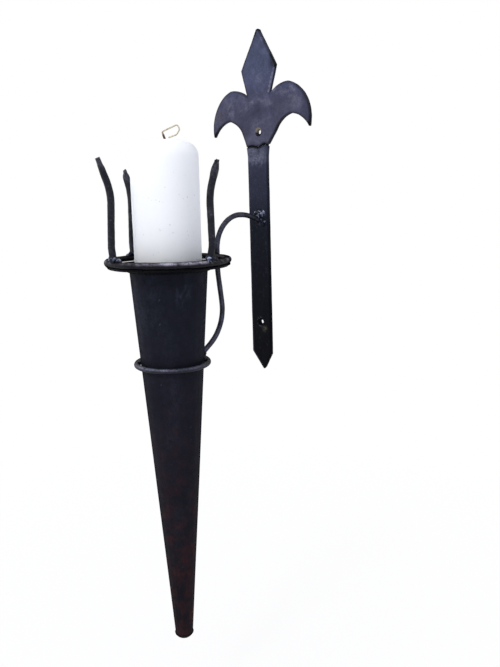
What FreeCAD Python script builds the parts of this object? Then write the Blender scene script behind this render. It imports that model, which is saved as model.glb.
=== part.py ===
import FreeCAD, Part

import math
import os

V = FreeCAD.Vector

# Frame: millimetres, +Z up. The origin is midway between the two screw holes, on the plate's
# back face. The wall is the plane y = 0, and the torch stands out from it along -Y.

# ---- wall plate: a flat bar with a cut finial welded to its top ----
plate_thickness = 4.0
bar_width = 31.0
hole_spacing = 222.0         # centre to centre, one hole in the finial and one in the bar
hole_dia = 5.2
countersink_dia = 10.0
countersink_depth = 1.4
seam_z = 95.0                # height of the joint between bar and finial
seam_gap = 0.8               # width of the joint, which the weld fills
seam_recess = 0.8            # how far the weld stays below the front face
neck_width = 34.0            # plate width at the joint
neck_taper_length = 11.0     # the bar narrows from the neck's width over this length
neck_offset = -2.8           # the joint was welded a little off the finial's centre line
foot_offset = 0.4            # and the bar leans back towards it at the foot's shoulders
foot_shoulder_z = -149.0
foot_point_length = 20.5
foot_point_offset = 3.2      # the hand-cut point lies off the finial's centre line
foot_blunt_width = 5.0

# ---- finial: a diamond head over two drooping petals; half widths and heights ----
diamond_tip_z = 221.8
diamond_blunt_width = 6.0
diamond_blunt_drop = 2.6
diamond_width = 54.0
diamond_corner_z = 180.5
waist_width = 35.4
waist_z = 151.5
petal_rise_x, petal_rise_z = 30.5, 158.6       # on the upper edge, between waist and crest
petal_crest_x, petal_crest_z = 45.0, 161.0
petal_shoulder_x, petal_shoulder_z = 66.6, 147.0
petal_side_x, petal_side_z = 75.6, 111.9
petal_tip_x, petal_tip_z = 74.8, 110.6
petal_hook_x, petal_hook_z = 73.7, 111.6       # inner side of the petal's point
petal_under_x, petal_under_z = 61.5, 122.8
arch_x, arch_z = 49.0, 126.6                   # highest point of the arch under the petal
arch_side_x, arch_side_z = 35.5, 121.0
neck_top_x, neck_top_z = 26.5, 111.0
neck_mid_x, neck_mid_z = 21.2, 102.5

# ---- torch head: ring, pan and candle ----
torch_reach = 142.6          # from the wall to the torch's upright axis
ring_z = -26.5
ring_radius = 62.5           # to the middle of the rod
ring_rod_dia = 6.8
pan_dia = 126.0              # its rim lies under the ring's middle
pan_thickness = 3.0
weld_gap = 0.1               # left between rods and plates that a weld joins

# ---- cone ----
cone_top_dia = 82.4
cone_tip_dia = 20.2
cone_length = 428.0
cone_wall = 1.5
tip_dome_height = 6.2

# ---- hoop round the cone ----
hoop_drop = 109.4            # below the ring
hoop_rod_dia = 5.8
hoop_gap = 1.6               # between the cone and the hoop's inner side

# ---- bracket arm: one bent rod in the plane x = 0 ----
arm_rod_dia = 6.0
arch_radius = 37.0           # from the arch's top over to the drop beside the ring
wall_arch_radius = 67.0      # the flatter stretch from the arch's top to the wall bar
arm_top_z = 18.0
kick_z = -43.0               # where the rod starts to swing away from the cone
kick_deg = 8.2
kick_radius = 95.0
sweep_radius = 48.0          # the bend that turns the rod in under the cone
sweep_fall_deg = 35.0        # slope of the last stretch below level
arm_hoop_gap = 0.5           # left between the rod's end and the hoop, which the weld fills

# ---- prongs: forged by hand, so each has its own bends; heights are above the ring ----
prong_rod_dia = 7.2
prong_angle_deg = {"front": 264.0, "left": 180.0, "right": 3.5}     # round the torch, from +X
prong_foot_radius = {"front": 63.8, "left": 62.5, "right": 62.5}
prong_shoulder_radius = {"front": 64.5, "left": 63.2, "right": 64.5}
prong_waist_height = {"front": 70.0, "left": 66.5, "right": 66.5}
prong_waist_radius = {"front": 61.6, "left": 60.6, "right": 62.9}
prong_tip_height = {"front": 101.5, "left": 95.5, "right": 97.5}
prong_tip_radius = {"front": 73.6, "left": 69.8, "right": 74.2}
prong_foot_height = 9.5      # where the foot kinks outwards
prong_shoulder_height = 17.0
prong_foot_bend = 9.0
prong_shoulder_bend = 16.0
prong_flare_bend = 54.0
prong_forged_length = 20.0   # the stretch hammered flat towards the tip
prong_spread_width = {"front": 8.2, "left": 9.0, "right": 9.8}      # half way along the flat
prong_tip_width = {"front": 6.8, "left": 4.6, "right": 6.2}
prong_tip_thickness = {"front": 4.4, "left": 3.0, "right": 3.4}

# ---- welds ----
arm_weld_width = 21.0
arm_weld_height = 4.6
arm_weld_lift = 4.5          # the bead lies more above the rod than below it
arm_ring_bead_dia = 11.0
arm_hoop_bead_dia = 12.0
prong_bead_dia = 11.6
prong_bead_lift = 1.2
pan_fillet_leg = 4.5
pan_tack_dia = 3.2
pan_tack_inset = 0.8         # the tack's middle lies this far outside the pan's edge and below its top
pan_tack_arc_deg = 14.0
pan_tack_angle_deg = (225.0, 292.0, 335.0, 45.0, 135.0)
hoop_tack_dia = 4.8
hoop_tack_angle_deg = (230.0, 268.0, 325.0, 50.0, 150.0)
seam_bead_dia = 2.4
seam_bead_angle = 135.0
seam_bead_margin = 3.0       # left free at both ends of the cone's seam
tip_bead_dia = 1.6

# ---- pricket: the spike that the candle stands on ----
pricket_dia = 5.2
pricket_height = 22.0        # above the pan
pricket_point_dia = 0.8
pricket_shank = 3.5          # below the pan, where it is welded
pricket_bead_dia = 12.0
pricket_bead_height = 3.0
pricket_bead_throat = 0.5    # thickness of the bead at its lower end

# ---- candle ----
candle_dia = 70.0
candle_height = 123.0
candle_seat_gap = 0.3
candle_top_flat_dia = 33.0
candle_shoulder_height = 13.5
candle_shoulder_in = 5.4     # of the shoulder's middle point, from the side
candle_shoulder_down = 4.0   # of the same point, from the top
candle_foot_chamfer = 1.0
candle_bore_clearance = 0.4
candle_bore_extra = 2.5      # depth of the bore beyond the spike
wick_dia = 1.8
wick_depth = 4.0             # how far the wick is seen to run into the wax
wick_plane_deg = 45.0        # direction in which the loop leans, from +X
wick_loop = ((1.8, 1.5), (-0.9, 8.9), (14.6, 15.6), (17.0, 11.0), (13.6, 5.8), (5.6, 3.2))
wick_bends = (2.0, 1.8, 2.2, 3.0, 3.0)

# ---- worked out from the sizes above ----
axis_y = -torch_reach
ring_rod_r = ring_rod_dia / 2
arm_rod_r = arm_rod_dia / 2
hoop_rod_r = hoop_rod_dia / 2
prong_rod_r = prong_rod_dia / 2
pan_top_z = ring_z - ring_rod_r - weld_gap
pan_bottom_z = pan_top_z - pan_thickness
cone_bottom_z = pan_bottom_z - cone_length
cone_slope = (cone_top_dia - cone_tip_dia) / 2 / cone_length
hoop_z = ring_z - hoop_drop
ring_back_y = axis_y + ring_radius + ring_rod_r
arm_drop_y = ring_back_y + weld_gap + arm_rod_r
arch_y = arm_drop_y + arch_radius
candle_bottom_z = pan_top_z + candle_seat_gap
candle_top_z = candle_bottom_z + candle_height


def cone_radius(z):
    """Outer radius of the cone at height z."""
    return cone_top_dia / 2 - (pan_bottom_z - z) * cone_slope


def wall_arch_z(y):
    """Height of the arm's middle line at y, on the flat stretch that runs to the wall bar."""
    return arm_top_z - wall_arch_radius + math.sqrt(wall_arch_radius ** 2 - (y - arch_y) ** 2)


hoop_radius = cone_radius(hoop_z) + hoop_gap + hoop_rod_r
arm_end_y = -plate_thickness - weld_gap
arm_end_z = wall_arch_z(arm_end_y)


def wire(edges):
    return Part.Wire(Part.__sortEdges__(edges))


def line(a, b):
    return Part.LineSegment(a, b).toShape()


def arc(a, b, c):
    return Part.Arc(a, b, c).toShape()


def rounded_path(points, radii):
    """Straight runs through the points, with a tangent arc of its own radius at each inner point."""
    edges = []
    start = points[0]
    for before, corner, after, radius in zip(points, points[1:], points[2:], radii):
        into = (corner - before).normalize()
        out = (after - corner).normalize()
        half_turn = into.getAngle(out) / 2
        reach = radius * math.tan(half_turn)
        first = corner - into * reach
        last = corner + out * reach
        towards = (out - into).normalize()
        middle = corner + towards * radius * (1 / math.cos(half_turn) - 1)
        edges += [line(start, first), arc(first, middle, last)]
        start = last
    return edges + [line(start, points[-1])]


def rod(edges, radius):
    """A round rod along a path of edges that run on from each other."""
    path = Part.Wire(edges)
    start = edges[0].valueAt(edges[0].FirstParameter)
    heading = edges[0].tangentAt(edges[0].FirstParameter)
    section = Part.Wire(Part.Circle(start, heading, radius).toShape())
    return path.makePipeShell([section], True, False)


def slab(outline):
    """A plate of the outline's shape, from the wall face y = 0 out to the front face."""
    return Part.Face(outline).extrude(V(0, -plate_thickness, 0))


def on_plate(x, z):
    return V(x, 0, z)


def screw_hole(z):
    """A countersunk hole's cutter, along Y through the plate."""
    front = V(0, -plate_thickness, z)
    bore = Part.makeCylinder(hole_dia / 2, plate_thickness, front, V(0, 1, 0))
    sink = Part.makeCone(countersink_dia / 2, hole_dia / 2, countersink_depth, front, V(0, 1, 0))
    return bore.fuse(sink)


def on_bar(width, z, side):
    """A point on the bar's edge: its centre line runs straight from the joint to the foot's shoulders."""
    share = (seam_z - z) / (seam_z - foot_shoulder_z)
    centre = neck_offset + (foot_offset - neck_offset) * share
    return on_plate(centre + side * width / 2, z)


def wall_bar():
    top = seam_z - seam_gap / 2
    taper_end = seam_z - neck_taper_length
    point_z = foot_shoulder_z - foot_point_length
    blunt = foot_blunt_width / 2
    corners = [
        on_plate(neck_offset - neck_width / 2, top), on_plate(neck_offset + neck_width / 2, top),
        on_bar(bar_width, taper_end, 1), on_bar(bar_width, foot_shoulder_z, 1),
        on_plate(foot_point_offset + blunt, point_z + blunt), on_plate(foot_point_offset, point_z),
        on_plate(foot_point_offset - blunt, point_z + blunt),
        on_bar(bar_width, foot_shoulder_z, -1), on_bar(bar_width, taper_end, -1),
    ]
    outline = Part.makePolygon(corners + corners[:1])
    return slab(outline).cut(screw_hole(-hole_spacing / 2))


def finial_side(side):
    """One side of the finial's outline, from the blunt tip down to the joint, on side -1 or 1."""
    def p(x, z):
        return on_plate(side * x, z)

    tip_side = p(diamond_blunt_width / 2, diamond_tip_z - diamond_blunt_drop)
    corner = p(diamond_width / 2, diamond_corner_z)
    waist = p(waist_width / 2, waist_z)
    crest = p(petal_crest_x, petal_crest_z)
    petal_side = p(petal_side_x, petal_side_z)
    hook = p(petal_hook_x, petal_hook_z)
    arch = p(arch_x, arch_z)
    neck_top = p(neck_top_x, neck_top_z)
    joint = on_plate(neck_offset + side * neck_width / 2, seam_z + seam_gap / 2)
    return [
        line(tip_side, corner),
        line(corner, waist),
        arc(waist, p(petal_rise_x, petal_rise_z), crest),
        arc(crest, p(petal_shoulder_x, petal_shoulder_z), petal_side),
        arc(petal_side, p(petal_tip_x, petal_tip_z), hook),
        arc(hook, p(petal_under_x, petal_under_z), arch),
        arc(arch, p(arch_side_x, arch_side_z), neck_top),
        arc(neck_top, on_plate(side * neck_mid_x + neck_offset / 2, neck_mid_z), joint),
    ]


def finial_plate():
    blunt = diamond_blunt_width / 2
    blunt_z = diamond_tip_z - diamond_blunt_drop
    tip = arc(on_plate(-blunt, blunt_z), on_plate(0, diamond_tip_z), on_plate(blunt, blunt_z))
    joint_left = on_plate(neck_offset - neck_width / 2, seam_z + seam_gap / 2)
    joint = line(joint_left, joint_left + V(neck_width, 0, 0))
    outline = wire(finial_side(-1) + [tip, joint] + finial_side(1))
    return slab(outline).cut(screw_hole(hole_spacing / 2))


def finial_weld():
    depth = plate_thickness - seam_recess
    corner = V(neck_offset - neck_width / 2, -depth, seam_z - seam_gap / 2)
    return Part.makeBox(neck_width, depth, seam_gap, corner)


def arm_low_points():
    """Corners of the arm's lower path in the plane x = 0: drop, kick, sweep and the end at the hoop."""
    fall = math.radians(sweep_fall_deg)
    stand_off = hoop_rod_r + arm_hoop_gap
    end_y = axis_y + hoop_radius + stand_off * math.cos(fall)
    end_z = hoop_z + stand_off * math.sin(fall)
    kick = math.tan(math.radians(kick_deg))
    slope = math.tan(fall)
    sweep_z = (end_z + (arm_drop_y + kick * kick_z - end_y) * slope) / (1 + kick * slope)
    sweep_y = arm_drop_y + kick * (kick_z - sweep_z)
    drop = V(0, arm_drop_y, arm_top_z - arch_radius)
    return [drop, V(0, arm_drop_y, kick_z), V(0, sweep_y, sweep_z), V(0, end_y, end_z)]


def bracket_arm():
    """The bent rod, run on to the wall plane and then cut off square to the bar's front face."""
    low = arm_low_points()
    bend = arch_radius / math.sqrt(2)
    bend_mid = V(0, arch_y - bend, arm_top_z - arch_radius + bend)
    arch = V(0, arch_y, arm_top_z)
    wall_arc = arc(V(0, 0, wall_arch_z(0)), V(0, arch_y / 2, wall_arch_z(arch_y / 2)), arch)
    edges = [wall_arc, arc(arch, bend_mid, low[0])] + rounded_path(low, (kick_radius, sweep_radius))
    side = 4 * arm_rod_dia
    wall_side = Part.makeBox(side, side, side, V(-side / 2, arm_end_y, arm_end_z - side / 2))
    return rod(edges, arm_rod_r).cut(wall_side)


def on_torch(x, y, z):
    return V(x, axis_y + y, z)


def around(shape, angle_deg):
    """The shape turned about the torch's axis, where angle 0 is towards +X."""
    turned = shape.copy()
    turned.rotate(on_torch(0, 0, 0), V(0, 0, 1), angle_deg)
    return turned


def crown_ring():
    return Part.makeTorus(ring_radius, ring_rod_r, on_torch(0, 0, ring_z))


def drip_pan():
    plate = Part.makeCylinder(pan_dia / 2, pan_thickness, on_torch(0, 0, pan_bottom_z))
    hole = Part.makeCylinder(pricket_dia / 2, pan_thickness, on_torch(0, 0, pan_bottom_z))
    return plate.cut(hole)


def cone_body():
    outer = Part.makeCone(cone_tip_dia / 2, cone_top_dia / 2, cone_length, on_torch(0, 0, cone_bottom_z))
    inner = Part.makeCone(cone_tip_dia / 2 - cone_wall, cone_top_dia / 2 - cone_wall, cone_length,
                          on_torch(0, 0, cone_bottom_z))
    return outer.cut(inner)


def turned_about_axis(edges, angle_deg=360.0):
    """A solid of revolution about the torch's axis, from a closed profile in the plane y = 0 of the torch."""
    face = Part.Face(wire(edges))
    return face.revolve(on_torch(0, 0, 0), V(0, 0, 1), angle_deg)


def cone_tip():
    radius = cone_tip_dia / 2
    ball_r = (radius ** 2 + tip_dome_height ** 2) / (2 * tip_dome_height)
    nose_z = cone_bottom_z - tip_dome_height
    ball = Part.makeSphere(ball_r, on_torch(0, 0, nose_z + ball_r))
    below = Part.makeCylinder(2 * radius, 2 * tip_dome_height, on_torch(0, 0, nose_z - tip_dome_height))
    return ball.common(below)


def hoop():
    return Part.makeTorus(hoop_radius, hoop_rod_r, on_torch(0, 0, hoop_z))


def prong_path(name):
    """The prong's middle line in the torch's plane y = 0, up to where the tip is hammered flat."""
    foot = on_torch(prong_foot_radius[name], 0, ring_z + ring_rod_r + weld_gap)
    kink = on_torch(prong_foot_radius[name], 0, ring_z + prong_foot_height)
    shoulder = on_torch(prong_shoulder_radius[name], 0, ring_z + prong_shoulder_height)
    waist = on_torch(prong_waist_radius[name], 0, ring_z + prong_waist_height[name])
    tip = on_torch(prong_tip_radius[name], 0, ring_z + prong_tip_height[name])
    forged = tip + (waist - tip).normalize() * prong_forged_length
    bends = (prong_foot_bend, prong_shoulder_bend, prong_flare_bend)
    return rounded_path([foot, kink, shoulder, waist, forged], bends), forged, tip


def section(centre, heading, width, thickness):
    """An ellipse square to the heading: width runs sideways along Y, thickness across it."""
    across = heading.cross(V(0, 1, 0)).normalize()
    if width > thickness:
        ellipse = Part.Ellipse(centre + V(0, width / 2, 0), centre + across * (thickness / 2), centre)
        return Part.Wire(ellipse.toShape())
    circle = Part.Circle(centre, heading, width / 2)
    circle.XAxis = V(0, 1, 0)
    return Part.Wire(circle.toShape())


def prong(name):
    edges, forged, tip = prong_path(name)
    heading = (tip - forged).normalize()
    middle = (forged + tip) / 2
    middle_thickness = (prong_rod_dia + prong_tip_thickness[name]) / 2
    sections = [
        section(forged, heading, prong_rod_dia, prong_rod_dia),
        section(middle, heading, prong_spread_width[name], middle_thickness),
        section(tip, heading, prong_tip_width[name], prong_tip_thickness[name]),
    ]
    blade = Part.makeLoft(sections, True, True)
    return around(rod(edges, prong_rod_r).fuse(blade).removeSplitter(), prong_angle_deg[name])


def bead(centre, diameter, *neighbours):
    """A lump of weld metal round a joint, cut back to the pieces that it joins."""
    return Part.makeSphere(diameter / 2, centre).cut(Part.makeCompound(list(neighbours)))


def arm_wall_weld(arm):
    cap_r = arm_weld_width / 2
    ball_r = (cap_r ** 2 + arm_weld_height ** 2) / (2 * arm_weld_height)
    centre = V(0, -plate_thickness + ball_r - arm_weld_height, arm_end_z + arm_weld_lift)
    ball = Part.makeSphere(ball_r, centre)
    front = Part.makeBox(2 * ball_r, ball_r, 2 * ball_r,
                         V(-ball_r, -plate_thickness - ball_r, centre.z - ball_r))
    return ball.common(front).cut(arm)


def pan_cone_weld():
    low_z = pan_bottom_z - pan_fillet_leg
    top = on_torch(cone_top_dia / 2, 0, pan_bottom_z)
    out = on_torch(cone_top_dia / 2 + pan_fillet_leg, 0, pan_bottom_z)
    low = on_torch(cone_radius(low_z), 0, low_z)
    return turned_about_axis([line(top, out), line(out, low), line(low, top)])


def ring_pan_welds(ring, pan):
    centre = on_torch(pan_dia / 2 + pan_tack_inset, 0, pan_top_z - pan_tack_inset)
    circle = Part.Circle(centre, V(0, 1, 0), pan_tack_dia / 2).toShape()
    strip = turned_about_axis([circle], pan_tack_arc_deg)
    tacks = [around(strip, angle - pan_tack_arc_deg / 2) for angle in pan_tack_angle_deg]
    return Part.makeCompound([tack.cut(ring).cut(pan) for tack in tacks])


def hoop_welds(cone_solid, ring):
    """One tack, its poles in and out and the seams of cone and hoop on the far side, turned to each place."""
    centre = on_torch(cone_radius(hoop_z) + hoop_gap / 2, 0, hoop_z)
    ball = Part.makeSphere(hoop_tack_dia / 2, centre, V(1, 0, 0))
    tack = ball.cut(around(cone_solid, 180)).cut(around(ring, 180))
    return Part.makeCompound([around(tack, angle) for angle in hoop_tack_angle_deg])


def cone_seam_weld(cone_solid):
    top_z = pan_bottom_z - pan_fillet_leg - seam_bead_margin
    low_z = cone_bottom_z + seam_bead_margin
    top = on_torch(cone_radius(top_z), 0, top_z)
    low = on_torch(cone_radius(low_z), 0, low_z)
    strip = Part.makeCylinder(seam_bead_dia / 2, (top - low).Length, low, top - low)
    return around(strip, seam_bead_angle).cut(cone_solid)


def cone_tip_weld(cone_solid, plug):
    bead_ring = Part.makeTorus(cone_tip_dia / 2, tip_bead_dia / 2, on_torch(0, 0, cone_bottom_z))
    return bead_ring.cut(cone_solid).cut(plug)


def pricket():
    low = pan_bottom_z - pricket_shank
    shank = Part.makeCylinder(pricket_dia / 2, pan_top_z - low, on_torch(0, 0, low))
    spike = Part.makeCone(pricket_dia / 2, pricket_point_dia / 2, pricket_height, on_torch(0, 0, pan_top_z))
    return shank.fuse(spike).removeSplitter()


def pricket_weld():
    low = pan_bottom_z - pricket_bead_height
    low_r = pricket_dia / 2 + pricket_bead_throat
    collar = Part.makeCone(low_r, pricket_bead_dia / 2, pricket_bead_height, on_torch(0, 0, low))
    return collar.cut(Part.makeCylinder(pricket_dia / 2, pricket_bead_height, on_torch(0, 0, low)))


def wick_path():
    """The wick's middle line: up out of the wax, over in a long loop, and back down to the foot."""
    lean = math.radians(wick_plane_deg)
    points = [(wick_loop[0][0], -wick_depth)] + list(wick_loop)
    spots = [on_torch(u * math.cos(lean), u * math.sin(lean), candle_top_z + z) for u, z in points]
    return rounded_path(spots, wick_bends)


def candle_wax(wick):
    radius = candle_dia / 2
    flat = candle_top_flat_dia / 2
    base = candle_bottom_z
    top = candle_top_z
    shoulder_low = on_torch(radius, 0, top - candle_shoulder_height)
    shoulder_mid = on_torch(radius - candle_shoulder_in, 0, top - candle_shoulder_down)
    shoulder_top = on_torch(flat, 0, top)
    side_foot = on_torch(radius, 0, base + candle_foot_chamfer)
    foot = on_torch(radius - candle_foot_chamfer, 0, base)
    profile = [
        line(on_torch(0, 0, base), foot), line(foot, side_foot), line(side_foot, shoulder_low),
        arc(shoulder_low, shoulder_mid, shoulder_top), line(shoulder_top, on_torch(0, 0, top)),
        line(on_torch(0, 0, top), on_torch(0, 0, base)),
    ]
    bore_r = pricket_dia / 2 + candle_bore_clearance
    bore_depth = pricket_height + candle_bore_extra
    bore = Part.makeCylinder(bore_r, bore_depth, on_torch(0, 0, base))
    return turned_about_axis(profile).cut(bore).cut(wick)


def candle_wick():
    return rod(wick_path(), wick_dia / 2)


def build():
    """Every piece by the name of its node."""
    arm = bracket_arm()
    ring = crown_ring()
    pan = drip_pan()
    shell = cone_body()
    plug = cone_tip()
    band = hoop()
    wick = candle_wick()
    shapes = {
        "wall_bar": wall_bar(), "finial_plate": finial_plate(), "finial_weld": finial_weld(),
        "bracket_arm": arm, "crown_ring": ring, "drip_pan": pan, "cone_body": shell, "cone_tip": plug,
        "hoop": band, "pricket": pricket(), "pricket_weld": pricket_weld(),
        "candle_wax": candle_wax(wick), "candle_wick": wick,
    }
    foot_z = ring_z + ring_rod_r + prong_bead_lift
    for name, angle in prong_angle_deg.items():
        shapes["prong_" + name] = prong(name)
        foot = on_torch(ring_radius, 0, foot_z)
        ball = around(Part.makeSphere(prong_bead_dia / 2, foot), angle)
        shapes["prong_" + name + "_weld"] = ball.cut(ring).cut(shapes["prong_" + name])
    solid_cone = Part.makeCone(cone_tip_dia / 2, cone_top_dia / 2, cone_length, on_torch(0, 0, cone_bottom_z))
    arm_end = arm_low_points()[-1]
    shapes["arm_wall_weld"] = arm_wall_weld(arm)
    shapes["arm_ring_weld"] = bead(V(0, ring_back_y, ring_z), arm_ring_bead_dia, ring, arm, pan)
    shapes["arm_hoop_weld"] = bead(arm_end, arm_hoop_bead_dia, arm, band, solid_cone)
    shapes["pan_cone_weld"] = pan_cone_weld()
    shapes["ring_pan_welds"] = ring_pan_welds(ring, pan)
    shapes["hoop_welds"] = hoop_welds(solid_cone, band)
    shapes["cone_seam_weld"] = cone_seam_weld(solid_cone)
    shapes["cone_tip_weld"] = cone_tip_weld(solid_cone, plug)
    return shapes


os.makedirs("parts", exist_ok=True)
for node, shape in build().items():
    shape.exportStep("parts/" + node + ".step")
    print(f"{node}: {len(shape.Solids)} solid(s), {shape.Volume:.1f} mm3, valid {shape.isValid()}")
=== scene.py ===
# %% [markdown]
# # A wrought-iron torch sconce
#
# A flat bar with a cut fleur-de-lis head is screwed to a wall. One bent rod reaches out from it and
# carries a long sheet-iron cone, with a ring, a drip pan and three forged prongs round a pillar candle.
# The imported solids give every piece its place. Here each piece gets the skin that a blacksmith's hand
# leaves: cut edges that wander, lumpy welds, ragged tips and a blackened, worn finish.

import bmesh
import bpy
import numpy as np
from mathutils import Matrix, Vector
from mathutils.geometry import delaunay_2d_cdt


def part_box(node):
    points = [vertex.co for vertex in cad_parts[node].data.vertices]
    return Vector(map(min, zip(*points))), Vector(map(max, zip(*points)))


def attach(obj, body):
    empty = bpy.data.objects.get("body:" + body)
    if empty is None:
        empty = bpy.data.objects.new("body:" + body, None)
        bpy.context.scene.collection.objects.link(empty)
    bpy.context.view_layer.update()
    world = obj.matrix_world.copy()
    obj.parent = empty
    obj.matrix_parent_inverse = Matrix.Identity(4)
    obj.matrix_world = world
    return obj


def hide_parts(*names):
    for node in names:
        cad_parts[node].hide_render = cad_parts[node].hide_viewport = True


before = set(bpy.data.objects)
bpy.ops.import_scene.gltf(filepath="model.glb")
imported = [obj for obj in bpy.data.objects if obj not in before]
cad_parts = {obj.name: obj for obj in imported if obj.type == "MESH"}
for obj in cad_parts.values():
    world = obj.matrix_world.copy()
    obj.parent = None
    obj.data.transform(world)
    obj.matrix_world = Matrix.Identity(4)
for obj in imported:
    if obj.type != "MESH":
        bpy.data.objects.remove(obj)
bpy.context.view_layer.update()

# %% [markdown]
# ## Units and places
#
# The solids are in metres. Ironwork is thought of in millimetres, so every size below is in
# millimetres and turned into metres once, when a mesh is made. Places are read from the solids:
# the ring gives the torch's upright axis, and each rod gives its own thickness.

# %% Places read from the solids
MM = 0.001


def low_high(node):
    """The lowest and highest corners of a solid, in millimetres."""
    return [np.array(corner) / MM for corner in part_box(node)]


ring_low, ring_high = low_high("crown_ring")
axis_y = (ring_low[1] + ring_high[1]) / 2
ring_z = (ring_low[2] + ring_high[2]) / 2
ring_rod = (ring_high[2] - ring_low[2]) / 2
ring_radius = (ring_high[0] - ring_low[0]) / 2 - ring_rod
plate_thickness = -low_high("wall_bar")[0][1]
arm_rod = (low_high("bracket_arm")[1][0] - low_high("bracket_arm")[0][0]) / 2
print(f"torch axis {-axis_y:.1f} mm from the wall, ring radius {ring_radius:.1f} mm at height {ring_z:.1f} mm")

# %% [markdown]
# ## Unevenness
#
# Nothing hammered, cut or welded is smooth. Random numbers on the corners of a cubic lattice, blended
# smoothly inside each cube, give a height for every point in space. The same point always gets the
# same height, so two surfaces that meet stay together. Several sizes of cube added up look like metal.

# %% Smooth random heights
def lattice_value(cell, seed):
    """A repeatable number from -1 to 1 for each cell: its whole-number coordinates are mixed bit by bit."""
    mixed = cell[..., 0] * 374761393 + cell[..., 1] * 668265263 + cell[..., 2] * 1442695041 + seed * 1013904223
    mixed = (mixed ^ (mixed >> 13)) * 1274126177
    mixed = mixed ^ (mixed >> 16)
    return (mixed & 0xFFFF) / 32767.5 - 1


def lumps(points, size, seed=0):
    """Height from -1 to 1: a point's cube has eight corner values, each weighted by 3t^2 - 2t^3 along each side."""
    scaled = points / size
    cell = np.floor(scaled).astype(np.int64)
    t = scaled - cell
    t = t * t * (3 - 2 * t)
    height = np.zeros(points.shape[:-1])
    for corner in np.ndindex(2, 2, 2):
        share = np.prod(np.where(np.array(corner) == 1, t, 1 - t), axis=-1)
        height += share * lattice_value(cell + np.array(corner), seed)
    return height


def rough(points, size, seed=0, layers=3):
    """Lumps added up, each layer half as large and half as high as the one before."""
    return sum(lumps(points, size / 2 ** layer, seed + 17 * layer) / 2 ** layer for layer in range(layers))


def smooth_step(low, high, value):
    """0 below low, 1 above high, and 3t^2 - 2t^3 between."""
    t = np.clip((value - low) / (high - low), 0, 1)
    return t * t * (3 - 2 * t)


# %% [markdown]
# ## From arrays to a piece
#
# Every surface here is an array of points and an array of faces. One function turns them into a mesh.
# It works out the volume that the faces enclose, and turns them round if it is negative, so that they
# always point outwards. Each point also carries how it looks, as attributes that the finishes read: one for
# wear and painted light runs from -1, near black for soot and for painted shade, to 1, bright for rubbed
# metal and for painted highlights, and the plates add dust, among it tan dirt below the lower hole and a
# painted tan inside the top hole for the lit wall seen through it.

# %% Arrays to pieces
def triangles_of(faces):
    """Four-sided faces split along one diagonal; three-sided ones as they are."""
    if faces.shape[1] == 3:
        return faces
    return np.concatenate([faces[:, [0, 1, 2]], faces[:, [0, 2, 3]]])


def enclosed(points, groups):
    """The volume inside the faces: a sixth of each triangle's triple product with the middle of the points."""
    corners = (points - points.mean(axis=0))[np.concatenate([triangles_of(group) for group in groups])]
    return np.einsum("ij,ij->i", corners[:, 0], np.cross(corners[:, 1], corners[:, 2])).sum() / 6


def join(*parts):
    """Several (points, face groups, wear) parts as one, each part's faces counted on from the points before it."""
    points, groups, wear_and_light, start = [], [], [], 0
    for part_points, part_groups, part_wear in parts:
        points.append(part_points)
        groups += [group + start for group in part_groups]
        wear_and_light.append(part_wear)
        start += len(part_points)
    return np.concatenate(points), groups, np.concatenate(wear_and_light)


def piece(name, part, body, replaced, merge=0.0):
    """A mesh object at the origin from a part in millimetres, riding on a body in place of the solids named."""
    points, groups, wear_and_light = part
    if merge == 0.0 and enclosed(points, groups) < 0:
        groups = [group[:, ::-1] for group in groups]
    corners = np.concatenate([group.ravel() for group in groups])
    sides = np.concatenate([np.full(len(group), group.shape[1]) for group in groups])
    mesh = bpy.data.meshes.new(name)
    mesh.vertices.add(len(points))
    mesh.vertices.foreach_set("co", (points * MM).astype(np.float32).ravel())
    mesh.loops.add(len(corners))
    mesh.loops.foreach_set("vertex_index", corners.astype(np.int32))
    mesh.polygons.add(len(sides))
    mesh.polygons.foreach_set("loop_start", (np.cumsum(sides) - sides).astype(np.int32))
    mesh.update(calc_edges=True)
    mesh.shade_smooth()
    for label, values in zip(("wear_and_light", "dust"), wear_and_light.reshape(len(points), -1).T):
        mark = mesh.attributes.new(label, "FLOAT", "POINT")
        mark.data.foreach_set("value", values.astype(np.float32))
    made = bpy.data.objects.new(name, mesh)
    bpy.context.scene.collection.objects.link(made)
    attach(made, body)
    if replaced:
        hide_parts(*replaced)
    if merge > 0.0:
        weld_seams(mesh, merge)
    volume = enclosed(points, groups) / 1000
    print(f"{name}: {len(mesh.vertices)} points, {len(mesh.polygons)} faces, {volume:.1f} cm3")
    return made


# %% [markdown]
# ## Grids, rods and turned shapes
#
# Three families cover the torch. A rod is a ring of points carried along a path. A turned shape is an
# outline carried round the torch's axis. Both are grids, so one function joins neighbours into faces,
# and running on from the last row or column to the first closes a loop. Open rods end in a pole point.

# %% Grid faces, rods and turned shapes
def whole_turn(steps):
    """Angles of even steps round a full circle, with the last one left out."""
    return np.linspace(0, 2 * np.pi, steps, endpoint=False)


def length_along(path):
    """How far along the path each of its points lies: the sum of the steps before it."""
    return np.concatenate([[0], np.cumsum(np.linalg.norm(np.diff(path, axis=0), axis=1))])


def unit(vector):
    """The direction of a vector, one long."""
    return vector / np.linalg.norm(vector)


def grid_faces(rows, columns, wrap_rows=False):
    """Four-sided faces between neighbours in a grid of points numbered row by row. Each row closes on itself."""
    row, column = np.meshgrid(np.arange(rows - (not wrap_rows)), np.arange(columns), indexing="ij")
    next_row, next_column = (row + 1) % rows, (column + 1) % columns
    corners = [row * columns + column, row * columns + next_column, next_row * columns + next_column,
               next_row * columns + column]
    return np.stack(corners, axis=-1).reshape(-1, 4)


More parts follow.
